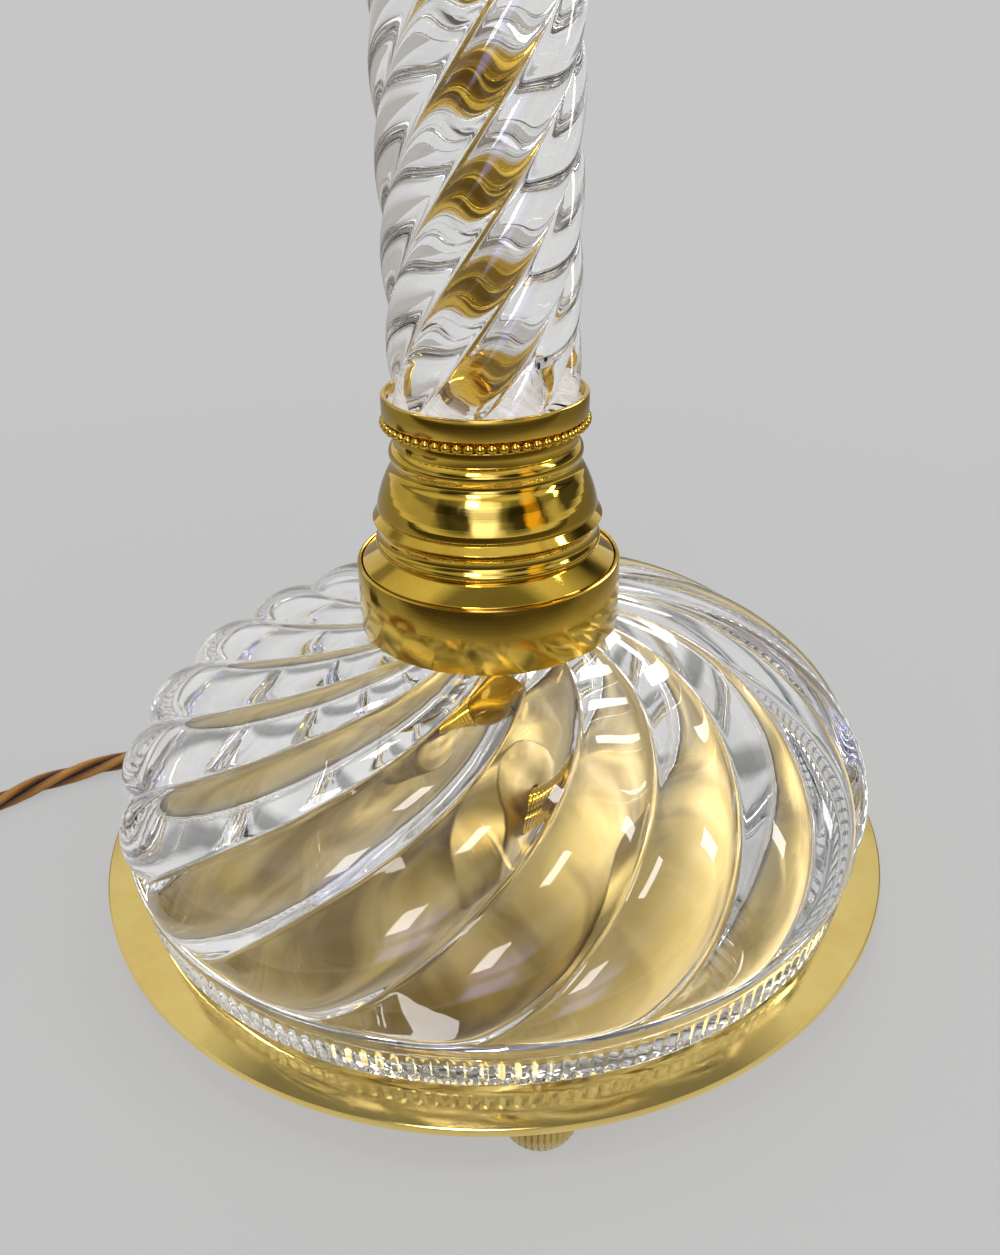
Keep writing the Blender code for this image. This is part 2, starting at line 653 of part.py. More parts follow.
def build_cups():
    """Cup, bead ring and plaster at the foot of the column, and the same again at its head."""
    inside = CUP_RADIUS - CUP_WALL
    cup = [
        (CUP_RADIUS, CUP_LIP), (CUP_RADIUS, CUP_STEP), (CUP_SPIGOT_RADIUS, CUP_STEP),
        (CUP_SPIGOT_RADIUS, CUP_BOTTOM), (TUBE_HOLE, CUP_BOTTOM), (TUBE_HOLE, CUP_INSIDE),
        (inside, CUP_INSIDE), (inside, CUP_LIP)]
    turned("lower_cup", cup, BRASS, steps=28)
    turned("upper_cup", mirrored(cup), BRASS, steps=28)
    bead_level = CUP_STEP - CLEARANCE - BEAD_RADIUS
    build_bead_ring("lower_bead_ring", bead_level)
    build_bead_ring("upper_bead_ring", 2 * COLUMN_MIDDLE - bead_level)
    plaster_bottom = CUP_INSIDE + CLEARANCE
    plaster = ring_outline(
        inside - CLEARANCE, COLUMN_BORE, plaster_bottom, plaster_bottom + PLASTER_THICKNESS)
    turned("lower_plaster", plaster, PLASTER, steps=20)
    turned("upper_plaster", mirrored(plaster), PLASTER, steps=20)


def build_column():
    """Twisted glass column: a lobed face spun up about Z, with a round bore."""
    turn = math.tau * COLUMN_LENGTH / COLUMN_PITCH
    crease = math.tau * (COLUMN_BOTTOM - COLUMN_CREASE_HEIGHT) / COLUMN_PITCH - math.pi / 2
    bm = bmesh.new()
    bmesh.ops.create_circle(
        bm, cap_ends=True, segments=COLUMN_LOBES * LOBE_POINTS, radius=COLUMN_CREST)
    for vert in bm.verts:
        across = across_lobe(math.atan2(vert.co.y, vert.co.x), COLUMN_LOBES)
        vert.co *= 1 - (1 - COLUMN_VALLEY / COLUMN_CREST) * across ** 2
    bmesh.ops.rotate(bm, verts=bm.verts, matrix=Matrix.Rotation(crease, 3, "Z"))
    bmesh.ops.spin(
        bm, geom=list(bm.faces), cent=(0, 0, 0), axis=(0, 0, 1),
        dvec=(0, 0, COLUMN_LENGTH / COLUMN_RINGS), angle=turn, steps=COLUMN_RINGS)
    column = finish_mesh("glass_column", bm, GLASS, (0, 0, COLUMN_BOTTOM), sharp=60)
    bore_place = (0, 0, COLUMN_BOTTOM - CLEARANCE)
    cut(column, rod(
        "glass_column_bore", COLUMN_BORE, COLUMN_LENGTH + 2 * CLEARANCE, GLASS, bore_place))


def build_tube():
    """Threaded tube from under the plate to the lampholder, its washer and its two nuts."""
    turned(
        "threaded_tube", ring_outline(TUBE_RADIUS, TUBE_BORE, TUBE_BOTTOM, TUBE_TOP), DARK_BRASS,
        steps=16)
    washer = ring_outline(WASHER_RADIUS, TUBE_HOLE, 0.0, WASHER_THICKNESS)
    turned("lower_washer", washer, STEEL, (0, 0, WASHER_BOTTOM), steps=20)
    nut = ring_outline(NUT_RADIUS, TUBE_HOLE, 0.0, NUT_THICKNESS)
    for name, level in (("lower_nut", LOWER_NUT_BOTTOM), ("upper_nut", UPPER_NUT_BOTTOM)):
        bored = turned(name, ring_outline(NUT_RADIUS, 0.0, 0.0, NUT_THICKNESS), BRASS,
                       (0, 0, level), steps=6)
        cut(bored, rod(f"{name}_bore", TUBE_HOLE, 3 * NUT_THICKNESS, BRASS,
                       (0, 0, level - NUT_THICKNESS)))


def build_cap():
    """Brass cap over the column, and the spacer that carries the lampholder."""
    foot = CUP_SPIGOT_RADIUS
    shoulder = CAP_SHOULDER_RADIUS
    neck = CAP_TOP_RADIUS
    roof = CAP_HEIGHT - CAP_ROOF
    slope_top = CAP_HEIGHT - CAP_NECK_HEIGHT - CAP_STEP
    outline = [
        (neck, CAP_HEIGHT), (neck, CAP_HEIGHT - CAP_NECK_HEIGHT), (neck + CAP_STEP, slope_top),
        ((neck + shoulder) / 2 + CAP_SWELL, (slope_top + CAP_SHOULDER_HEIGHT) / 2),
        (shoulder, CAP_SHOULDER_HEIGHT), (shoulder + 2 * CAP_STEP, CAP_SHOULDER_HEIGHT - CAP_STEP),
        (foot, CAP_SKIRT_HEIGHT), (foot, 0.0), (foot - CAP_WALL, 0.0),
        (shoulder - CAP_WALL, CAP_SKIRT_HEIGHT + CAP_WALL), (neck - CAP_WALL / 2, roof),
        (TUBE_HOLE, roof), (TUBE_HOLE, CAP_HEIGHT)]
    turned("column_cap", outline, BRASS, (0, 0, CAP_BOTTOM), steps=24)
    rim = SPACER_RADIUS + SPACER_RIM
    spacer = [
        (rim, SPACER_HEIGHT), (SPACER_RADIUS, SPACER_HEIGHT - SPACER_RIM_HEIGHT),
        (SPACER_RADIUS, SPACER_RIM_HEIGHT), (rim, 0.0), (TUBE_HOLE, 0.0),
        (TUBE_HOLE, SPACER_HEIGHT)]
    turned("neck_spacer", spacer, BRASS, (0, 0, SPACER_BOTTOM), steps=20)


def build_lampholder_cap():
    """Lower shell of the lampholder, with a hole on each side for the press bar."""
    wall = HOLDER_WALL
    inside = HOLDER_RADIUS - wall
    seat = HOLDER_SEAT_RADIUS
    outline = [
        (HOLDER_RADIUS, HOLDER_CAP_HEIGHT), (HOLDER_RADIUS, HOLDER_SHOULDER),
        (HOLDER_CURVE_RADIUS, HOLDER_CURVE_HEIGHT), (seat, 0.0), (TUBE_HOLE, 0.0),
        (TUBE_HOLE, wall), (seat, wall), (HOLDER_CURVE_RADIUS - wall, HOLDER_CURVE_HEIGHT + wall),
        (inside, HOLDER_SHOULDER + wall / 2), (inside, HOLDER_CAP_HEIGHT)]
    shell = turned("lampholder_cap", outline, BRASS, (0, 0, HOLDER_BOTTOM), steps=24)
    start = (-2 * HOLDER_RADIUS, SWITCH_SET_BACK, HOLDER_BOTTOM + SWITCH_HEIGHT)
    cut(shell, rod(
        "press_bar_hole", SWITCH_RADIUS + CLEARANCE, 4 * HOLDER_RADIUS, BRASS, start, "X"))


def build_lampholder_barrel():
    """Upper barrel of the lampholder, with two hooked slots for a bayonet lamp."""
    ledge = INSULATOR_RADIUS - BARREL_LEDGE
    floor = HOLDER_WALL - CLEARANCE
    outline = [
        (BARREL_RADIUS, BARREL_HEIGHT), (BARREL_RADIUS, BARREL_SKIRT_HEIGHT + BARREL_SHOULDER),
        (BARREL_SKIRT_RADIUS, BARREL_SKIRT_HEIGHT), (BARREL_SKIRT_RADIUS, 0.0), (ledge, 0.0),
        (ledge, floor), (BARREL_BORE, floor), (BARREL_BORE, BARREL_HEIGHT)]
    barrel = turned("lampholder_barrel", outline, BRASS, (0, 0, BARREL_BOTTOM), steps=28)
    entry_place = (0, 0, BARREL_TOP - BAYONET_DEPTH / 2 + CLEARANCE)
    entry_size = (BAYONET_WIDTH, 3 * BARREL_RADIUS, BAYONET_DEPTH + 2 * CLEARANCE)
    cut(barrel, block("bayonet_entry", entry_size, BRASS, entry_place))
    hook_width = BAYONET_TURN + BAYONET_WIDTH / 2
    hook_size = (hook_width, BARREL_RADIUS, BAYONET_WIDTH)
    hook_level = BARREL_TOP - BAYONET_DEPTH + BAYONET_WIDTH / 2 + CLEARANCE
    for side, name in ((1, "bayonet_hook_back"), (-1, "bayonet_hook_front")):
        hook_place = (side * hook_width / 2, side * BARREL_RADIUS, hook_level)
        cut(barrel, block(name, hook_size, BRASS, hook_place))


def build_shade_ring():
    """Ring that screws along the barrel to hold a shade."""
    inner = BARREL_RADIUS + CLEARANCE
    outline = [
        (SHADE_RING_HUB, SHADE_RING_HEIGHT), (SHADE_RING_HUB, SHADE_RING_FLANGE),
        (SHADE_RING_RADIUS, SHADE_RING_FLANGE), (SHADE_RING_RADIUS, 0.0), (inner, 0.0),
        (inner, SHADE_RING_HEIGHT)]
    level = BARREL_BOTTOM + BARREL_SKIRT_HEIGHT + BARREL_SHOULDER + CLEARANCE
    turned("shade_ring", outline, BRASS, (0, 0, level), steps=28)


def build_spring(name, base):
    """Small coil spring that stands on a base point."""
    count = SPRING_TURNS * 8
    points = []
    for i in range(count + 1):
        height = SPRING_WIRE + (SPRING_LENGTH - 2 * SPRING_WIRE) * i / count
        points.append(base + on_circle(SPRING_RADIUS, math.tau * i / 8, height))
    tube_along(name, points, SPRING_WIRE, STEEL, resolution=1)


def build_contacts():
    """Insulator with two sprung plungers, and the terminals and leads under it."""
    disc = ring_outline(INSULATOR_RADIUS, 0.0, 0.0, INSULATOR_HEIGHT)
    insulator = turned("insulator", disc, PHENOLIC, (0, 0, INSULATOR_BOTTOM), steps=24)
    flex_end = TUBE_TOP + FLEX_PROUD + CLEARANCE
    for number, side in enumerate((-1, 1), 1):
        x = side * PLUNGER_SPACING / 2
        cut(insulator, rod(
            f"plunger_bore_{number}", PLUNGER_RADIUS + CLEARANCE, INSULATOR_HEIGHT, PHENOLIC,
            (x, 0, PLUNGER_BORE_BOTTOM)))
        tip = PLUNGER_RADIUS / 2
        plunger = [
            (0.0, PLUNGER_LENGTH), (tip, PLUNGER_LENGTH), (PLUNGER_RADIUS, PLUNGER_LENGTH - tip),
            (PLUNGER_RADIUS, 0.0), (0.0, 0.0)]
        turned(f"plunger_{number}", plunger, DARK_BRASS, (x, 0, PLUNGER_BOTTOM), steps=12)
        spring_base = Vector((x, 0, PLUNGER_BORE_BOTTOM + CLEARANCE))
        build_spring(f"plunger_spring_{number}", spring_base)
        terminal_x = side * TERMINAL_SPACING / 2
        rod(f"terminal_{number}", TERMINAL_RADIUS, TERMINAL_LENGTH, DARK_BRASS,
            (terminal_x, -TERMINAL_SET_BACK, TERMINAL_BOTTOM), sides=12)
        start = Vector((side * LEAD_SPACING / 2, 0, flex_end))
        end = Vector((terminal_x, -TERMINAL_SET_BACK, TERMINAL_BOTTOM - CLEARANCE))
        rise = Vector((0, 0, LEAD_RADIUS))
        tube_along(f"lead_{number}", [start, start + rise, end - rise, end], LEAD_RADIUS, PHENOLIC,
                   resolution=1)


def build_switch():
    """Press bar that goes through the lampholder's cap."""
    reach = math.sqrt(HOLDER_RADIUS ** 2 - SWITCH_SET_BACK ** 2) + SWITCH_REACH
    place = (-reach, SWITCH_SET_BACK, HOLDER_BOTTOM + SWITCH_HEIGHT)
    rod("switch_bar", SWITCH_RADIUS, 2 * reach, PHENOLIC, place, "X")


def inner_flex_points():
    """Route of the flex from the lampholder down the tube and along under the plate."""
    top = TUBE_TOP + FLEX_PROUD
    points = [Vector((0, 0, top)), Vector((0, 0, (top + TUBE_BOTTOM) / 2))]
    for i in range(6):
        t = math.pi / 2 * i / 6
        out = FLEX_BEND * (1 - math.cos(t))
        points.append(on_circle(out, FLEX_HEADING, TUBE_BOTTOM - FLEX_BEND * math.sin(t)))
    bend_end = on_circle(FLEX_BEND, FLEX_HEADING, FLEX_LEVEL)
    clip_end = Vector((CLIP_X - CLIP_LENGTH / 2, CLIP_Y, FLEX_LEVEL))
    lie = [Vector((x * CLIP_X, y * CLIP_Y, FLEX_LEVEL)) for x, y in UNDER_PLATE_LIE]
    through = [bend_end, *lie, clip_end + Vector((CLIP_LENGTH, 0, 0)), clip_end]
    return points + smooth_path(through, 3 * FLEX_RADIUS)


def build_clip():
    """Brass saddle under the plate that holds the flex, and its screw."""
    bore = FLEX_RADIUS + CLEARANCE
    top = FOOT_HEIGHT - CLEARANCE
    bottom = FLEX_LEVEL - bore - CLIP_WALL
    width = 2 * (bore + CLIP_WALL) + CLIP_EAR
    size = (CLIP_LENGTH, width, top - bottom)
    centre = (CLIP_X, CLIP_Y + CLIP_EAR / 2, (top + bottom) / 2)
    saddle = block("cord_clip", size, BRASS, centre)
    bore_start = (CLIP_X - CLIP_LENGTH, CLIP_Y, FLEX_LEVEL)
    cut(saddle, rod("cord_clip_bore", bore, 2 * CLIP_LENGTH, BRASS, bore_start, "X"))
    screw = clip_screw_place()
    cut(saddle, rod(
        "cord_clip_screw_hole", SCREW_HOLE, 2 * FOOT_HEIGHT, BRASS,
        (screw.x, screw.y, -FOOT_HEIGHT / 2), sides=12))
    head_top = bottom - CLEARANCE
    shank = PLATE_TOP - CLEARANCE - head_top
    outline = [
        (0.0, shank), (SCREW_RADIUS, shank), (SCREW_RADIUS, 0.0), (SCREW_HEAD_RADIUS, 0.0),
        (SCREW_HEAD_RADIUS, -CLIP_SCREW_HEAD), (0.0, -CLIP_SCREW_HEAD)]
    turned("clip_screw", outline, STEEL, (screw.x, screw.y, head_top), steps=12)


def coil_points():
    """Loops of the put-away flex: one layer spirals in, and the next spirals out over it."""
    total = COIL_LOOPS * LOOP_POINTS
    half = total // COIL_LAYERS
    climb = LOOP_POINTS // 2
    centre = Vector((COIL_X, COIL_Y, COIL_LEVEL))
    points = []
    for i in range(total + 1):
        inward = half - abs(half - i)
        radius = COIL_OUTER_RADIUS - COIL_PITCH * inward / LOOP_POINTS
        risen = min(1.0, max(0.0, (i - half) / climb + 0.5))
        lift = COIL_PITCH * (3 - 2 * risen) * risen ** 2
        points.append(centre + on_circle(radius, COIL_START + math.tau * i / LOOP_POINTS, lift))
    along = coil_heading() * 2 * FLEX_RADIUS
    return [points[0] - along, *points, points[-1] + along]


def coil_heading():
    """Direction of the flex where it enters and leaves the coil."""
    return on_circle(1.0, COIL_START + math.pi / 2)


def least_gap(points, radius):
    """Least gap between stretches of a tube that aren't next to each other."""
    near = LOOP_POINTS // 2
    closest = min(
        (there - here).length for i, here in enumerate(points) for there in points[i + near:])
    return closest - 2 * radius


def laid(lie, low, high):
    """Places of a lie that is given in plate radii, between a low and a high level."""
    return [
        Vector((x * PLATE_RADIUS, y * PLATE_RADIUS, low + (high - low) * share))
        for x, y, share in lie]


def cord_route(coil):
    """Route of the free flex from the clip, out from under the plate and over the table."""
    start = Vector((CLIP_X - CLIP_LENGTH / 2 - CLEARANCE, CLIP_Y, FLEX_LEVEL))
    end = coil[0] - coil_heading() * CLEARANCE
    through = [
        start, start - Vector((2 * FLEX_RADIUS, 0, 0)), *laid(TABLE_LIE, CORD_LEVEL, FLEX_LEVEL),
        end - coil_heading() * 2 * FLEX_RADIUS, end]
    return smooth_path(through, 2.2 * FLEX_RADIUS)


def tail_route(coil):
    """Route of the last free flex, from the coil round to the plug."""
    start = coil[-1] + coil_heading() * CLEARANCE
    end = Vector((PLUG_X, PLUG_Y - CLEARANCE, PLUG_ENTRY_LEVEL))
    through = [
        start, start + coil_heading() * 2 * FLEX_RADIUS, *laid(TAIL_LIE, CORD_LEVEL, coil[-1].z),
        end - Vector((0, 2 * FLEX_RADIUS, 0)), end]
    return smooth_path(through, 2.2 * FLEX_RADIUS)


def build_tie(coil):
    """Paper tie round the bundle of loops, past the place where the second layer starts."""
    azimuth = COIL_START + math.tau * TIE_TURN
    centre = Vector((COIL_X, COIL_Y, 0))
    toward = on_circle(1.0, azimuth)
    near = math.cos(math.pi / LOOP_POINTS)
    offsets = [(point - centre).xy for point in coil[1:-1]]
    held = [offset.length for offset in offsets if offset.normalized() @ toward.xy > near]
    bundle_width = max(held) - min(held) + 2 * (FLEX_RADIUS + FREE_FIT)
    bundle_height = COIL_PITCH * (COIL_LAYERS - 1) + 2 * (FLEX_RADIUS + CLEARANCE)
    level = COIL_LEVEL + COIL_PITCH * (COIL_LAYERS - 1) / 2
    place = centre + on_circle((max(held) + min(held)) / 2, azimuth, level)
    size = (bundle_width + 2 * TIE_WALL, TIE_WIDTH, bundle_height + 2 * TIE_WALL)
    tie = block("cord_tie", size, TIE_PAPER, place, azimuth)
    inside = (bundle_width, 2 * TIE_WIDTH, bundle_height)
    cut(tie, block("cord_tie_inside", inside, TIE_PAPER, place, azimuth))


def build_cord():
    """Free flex over the table, its tied coil and its tail."""
    tube_along("inner_flex", inner_flex_points(), FLEX_RADIUS, SILK)
    coil = coil_points()
    free = cord_route(coil)
    tail = tail_route(coil)
    tube_along("cord", free, FLEX_RADIUS, SILK)
    tube_along("cord_coil", coil, FLEX_RADIUS, SILK, resolution=1)
    tube_along("cord_tail", tail, FLEX_RADIUS, SILK)
    build_tie(coil)
    length = path_length(free) + path_length(coil) + path_length(tail)
    print(f"cord from clip to plug {length:.3f} m")
    print(f"least gap between loops {least_gap(coil, FLEX_RADIUS) * 1000:.2f} mm")


def plug_half(name, thickness, level):
    """Half of the plug's body, narrower at the end where the flex goes in."""
    bm = bmesh.new()
    size = (PLUG_WIDTH, PLUG_LENGTH, thickness)
    bmesh.ops.create_cube(bm, size=1.0, matrix=Matrix.Diagonal((*size, 1.0)))
    for vert in bm.verts:
        if vert.co.y < 0:
            vert.co.x *= PLUG_NOSE / PLUG_WIDTH
    place = (PLUG_X, PLUG_Y + PLUG_LENGTH / 2, level + thickness / 2)
    half = finish_mesh(name, bm, PHENOLIC, place)
    bevel = half.modifiers.new("rounding", "BEVEL")
    bevel.width = PLUG_ROUNDING
    bevel.segments = 2


def build_plug():
    """Plug on the end of the flex, lying on its cover with its pins up."""
    base_bottom = TABLE_GAP + PLUG_COVER_THICKNESS + CLEARANCE
    plug_half("plug_cover", PLUG_COVER_THICKNESS, TABLE_GAP)
    plug_half("plug_base", PLUG_BASE_THICKNESS, base_bottom)
    seat = base_bottom + PLUG_BASE_THICKNESS + CLEARANCE
    row = PLUG_Y + PIN_SET_BACK
    for side, name in ((-1, "plug_pin_left"), (1, "plug_pin_right")):
        place = (PLUG_X + side * PIN_SPACING / 2, row, seat + PIN_LENGTH / 2)
        block(name, (PIN_WIDTH, PIN_THICKNESS, PIN_LENGTH), BRASS, place)
    earth_place = (PLUG_X, row + EARTH_PIN_DISTANCE, seat + EARTH_PIN_LENGTH / 2)
    earth_size = (EARTH_PIN_WIDTH, EARTH_PIN_THICKNESS, EARTH_PIN_LENGTH)
    block("plug_pin_earth", earth_size, BRASS, earth_place)
    screw_place = (PLUG_X, row + EARTH_PIN_DISTANCE / 2, seat)
    rod("plug_screw", PLUG_SCREW_RADIUS, PLUG_SCREW_RISE, STEEL, screw_place)


build_plate()
build_feet()
build_glass_base()
build_drum()
build_collar()
build_cups()
build_column()
build_tube()
build_cap()
build_lampholder_cap()
build_lampholder_barrel()
build_shade_ring()
build_contacts()
build_switch()
build_clip()
build_cord()
build_plug()
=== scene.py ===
# %% [markdown]
# # Table lamp with a twisted glass column
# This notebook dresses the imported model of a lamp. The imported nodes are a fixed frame: they say
# where everything is, and this script gives each one a finer piece or a better material. It is
# loaded first, because every later cell reads its sizes.

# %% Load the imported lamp
import math

import bmesh
import bpy
from mathutils import Matrix, Vector, noise


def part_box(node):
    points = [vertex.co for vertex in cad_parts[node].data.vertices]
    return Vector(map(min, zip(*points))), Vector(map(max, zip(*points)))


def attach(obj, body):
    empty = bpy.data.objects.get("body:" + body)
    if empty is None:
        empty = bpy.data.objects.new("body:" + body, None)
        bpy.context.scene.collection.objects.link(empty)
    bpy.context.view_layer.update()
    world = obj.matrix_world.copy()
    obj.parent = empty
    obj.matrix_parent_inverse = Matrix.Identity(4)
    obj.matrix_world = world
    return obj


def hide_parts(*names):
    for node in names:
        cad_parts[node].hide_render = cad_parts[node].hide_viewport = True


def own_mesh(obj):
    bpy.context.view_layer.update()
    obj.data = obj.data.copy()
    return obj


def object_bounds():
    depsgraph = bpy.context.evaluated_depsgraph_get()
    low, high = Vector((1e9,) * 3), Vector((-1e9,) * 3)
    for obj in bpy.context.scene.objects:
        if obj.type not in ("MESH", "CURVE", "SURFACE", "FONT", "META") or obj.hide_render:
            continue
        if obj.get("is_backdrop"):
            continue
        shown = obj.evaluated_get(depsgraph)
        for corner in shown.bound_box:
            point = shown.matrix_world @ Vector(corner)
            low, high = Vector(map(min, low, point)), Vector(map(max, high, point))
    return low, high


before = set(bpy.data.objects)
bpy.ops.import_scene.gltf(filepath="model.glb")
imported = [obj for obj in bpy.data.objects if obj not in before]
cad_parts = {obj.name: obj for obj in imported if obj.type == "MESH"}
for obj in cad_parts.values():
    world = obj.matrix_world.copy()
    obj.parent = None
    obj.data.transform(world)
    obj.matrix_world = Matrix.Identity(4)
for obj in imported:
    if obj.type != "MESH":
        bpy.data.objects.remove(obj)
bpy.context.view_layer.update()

# %% [markdown]
# ## Camera
# The photograph looks down on the base from a little above, with the lamp filling the frame. A
# camera needs a place, a direction and a lens. The turn is built from three unit vectors (right,
# up, back), which is plainer than three Euler angles when the camera also rolls a little.

# %% Camera
CAMERA_PLACE = Vector((0.0, -0.23764, 0.19404))
CAMERA_YAW = 0.01032
CAMERA_PITCH = math.radians(28.185)
CAMERA_ROLL = math.radians(-0.9686)
FOCAL_PIXELS = 1090.53
IMAGE_HEIGHT = 1255
SENSOR = 36.0

forward = Vector((
    math.sin(CAMERA_YAW) * math.cos(CAMERA_PITCH), math.cos(CAMERA_YAW) * math.cos(CAMERA_PITCH),
    -math.sin(CAMERA_PITCH)))
level = forward.cross(Vector((0, 0, 1))).normalized()
upright = level.cross(forward)
right = math.cos(CAMERA_ROLL) * level + math.sin(CAMERA_ROLL) * upright
up = math.cos(CAMERA_ROLL) * upright - math.sin(CAMERA_ROLL) * level
camera_data = bpy.data.cameras.new("camera")
camera_data.lens = FOCAL_PIXELS / IMAGE_HEIGHT * SENSOR
camera_data.sensor_width = SENSOR
camera_data.clip_start = 0.01
camera = bpy.data.objects.new("camera", camera_data)
camera.matrix_world = Matrix.Translation(CAMERA_PLACE) @ Matrix((
    right, up, -forward)).transposed().to_4x4()
bpy.context.scene.collection.objects.link(camera)
bpy.context.scene.camera = camera
print("lens", round(camera_data.lens, 2), "mm")

# %% [markdown]
# ## Materials
# A material is a small graph of nodes. This helper adds one node and either sets its inputs or
# joins them to other sockets, so that each graph below reads from left to right.


# %% Node helpers
def add_node(tree, kind, values=None, **settings):
    """Add a node, set its settings, and set or join its inputs."""
    made = tree.nodes.new(kind)
    for key, value in settings.items():
        setattr(made, key, value)
    for key, value in (values or {}).items():
        if isinstance(value, bpy.types.NodeSocket):
            tree.links.new(value, made.inputs[key])
        else:
            made.inputs[key].default_value = value
    return made


def start_material(name):
    """Make a material and return it with its graph and its Principled shader."""
    made = bpy.data.materials.new(name)
    made.use_nodes = True
    return made, made.node_tree, made.node_tree.nodes["Principled BSDF"]


def set_inputs(shader, **values):
    """Set a shader's inputs, whose names have spaces in place of underscores."""
    for key, value in values.items():
        shader.inputs[key.replace("_", " ")].default_value = value


def ramp(tree, factor, *stops):
    """Colour ramp with stops of a place and a colour."""
    made = add_node(tree, "ShaderNodeValToRGB", {"Fac": factor})
    elements = made.color_ramp.elements
    while len(elements) < len(stops):
        elements.new(0.5)
    for element, (place, colour) in zip(elements, stops):
        element.position = place
        element.color = (*colour, 1.0) if len(colour) == 3 else (colour[0],) * 3 + (1.0,)
    return made.outputs["Color"]


def object_place(tree):
    """The Object coordinates, which are metres from the foot of the lamp."""
    return add_node(tree, "ShaderNodeTexCoord").outputs["Object"]


# %% [markdown]
# ### Brass
# Polished brass mirrors the room, so its look comes from small faults in the mirror. Turned
# brass keeps rings from the lathe: a noise that reads only the distance from the axis and the
# height gives those rings, because it is the same all the way round. Wider patches vary the
# roughness and the warmth, as handling does, and pits catch a few sparks.


# %% Brass materials
def brass_material(
        name, bright, warm, rough, ring_strength, turned_about=(0.0, 0.0), dull_and_shaded_within=None):
    """Brass with lathe rings, worn patches and scratches, and, if asked, rougher near the axis with a
    mottled painted shade there.
    """
    made, tree, shader = start_material(name)
    place = add_node(tree, "ShaderNodeVectorMath", {
        0: object_place(tree), 1: (-turned_about[0], -turned_about[1], 0.0)}, operation="ADD")
    parts = add_node(tree, "ShaderNodeSeparateXYZ", {0: place.outputs[0]})
    flat = add_node(tree, "ShaderNodeCombineXYZ", {
        "X": parts.outputs["X"], "Y": parts.outputs["Y"]})
    radius = add_node(tree, "ShaderNodeVectorMath", {0: flat.outputs[0]}, operation="LENGTH")
    around = add_node(tree, "ShaderNodeCombineXYZ", {
        "X": radius.outputs["Value"], "Y": parts.outputs["Z"]})
    rings = add_node(tree, "ShaderNodeTexNoise", {
        "Vector": around.outputs[0], "Scale": 2600.0, "Detail": 3.0})
    patches = add_node(tree, "ShaderNodeTexNoise", {
        "Vector": place.outputs[0], "Scale": 70.0, "Detail": 5.0, "Roughness": 0.6})
    specks = add_node(tree, "ShaderNodeTexNoise", {
        "Vector": place.outputs[0], "Scale": 900.0, "Detail": 4.0})
    colour = ramp(tree, patches.outputs["Fac"], (0.30, warm), (0.62, bright))
    roughness = ramp(
        tree, patches.outputs["Fac"], (0.35, (rough * 1.7,)), (0.65, (rough * 0.75,)))
    if dull_and_shaded_within:
        edge = add_node(tree, "ShaderNodeMapRange", {
            "Value": radius.outputs["Value"], "From Min": dull_and_shaded_within - 0.006,
            "From Max": dull_and_shaded_within, "To Min": 0.26, "To Max": 0.0})
        roughness = add_node(tree, "ShaderNodeMath", {
            0: roughness, 1: edge.outputs[0]}, operation="ADD").outputs[0]
        # Painted shade: within the radius the colour turns to a darker brass, mottled by noise, for the
        # shade that the glass dome casts on the plate.
        shade_mottle_noise = add_node(tree, "ShaderNodeTexNoise", {
            "Vector": place.outputs[0], "Scale": 34.0, "Detail": 3.0, "Distortion": 0.8})
        mottled_painted_shade = ramp(
            tree, shade_mottle_noise.outputs["Fac"], (0.38, (0.25, 0.17, 0.050)), (0.58, (0.56, 0.42, 0.15)))
        colour = add_node(tree, "ShaderNodeMix", {
            0: add_node(tree, "ShaderNodeMath", {
                0: edge.outputs[0], 1: 3.8}, operation="MULTIPLY").outputs[0],
            6: colour, 7: mottled_painted_shade}, data_type="RGBA").outputs[2]
    tree.links.new(colour, shader.inputs["Base Color"])
    tree.links.new(roughness, shader.inputs["Roughness"])
    ring_bump = add_node(tree, "ShaderNodeBump", {
        "Height": rings.outputs["Fac"], "Strength": ring_strength, "Distance": 0.00003})
    speck_bump = add_node(tree, "ShaderNodeBump", {
        "Height": specks.outputs["Fac"], "Strength": 0.12, "Distance": 0.00003,
        "Normal": ring_bump.outputs[0]})
    tree.links.new(speck_bump.outputs[0], shader.inputs["Normal"])
    set_inputs(shader, Metallic=1.0, Coat_Weight=0.10, Coat_Roughness=0.04)
    return made


polished_brass = brass_material(
    "polished_brass", (0.80, 0.54, 0.070), (0.68, 0.42, 0.045), 0.05, 0.25)
turned_brass = brass_material("turned_brass", (0.77, 0.52, 0.075), (0.62, 0.39, 0.045), 0.09, 0.5)
# The plate's colour is painted darker under the glass dome, a painted shade.
plate_brass = brass_material(
    "plate_brass", (0.92, 0.71, 0.24), (0.86, 0.63, 0.19), 0.10, 0.2, dull_and_shaded_within=0.086)
aged_brass = brass_material("aged_brass", (0.62, 0.44, 0.15), (0.36, 0.24, 0.08), 0.26, 0.5)
print("brass:", [m.name for m in (polished_brass, turned_brass, plate_brass, aged_brass)])

# %% [markdown]
# ### Glass
# Pressed lead glass is clear, bends light more than window glass, and its skin ripples a little.
# In Cycles, glass casts a dark shadow unless light can pass it, so rays from lamps meet a
# Transparent shader in place of the glass, and the brass inside stays lit. So does a ray that
# has bounced many times inside a rib, which would otherwise run out of bounces and end black.


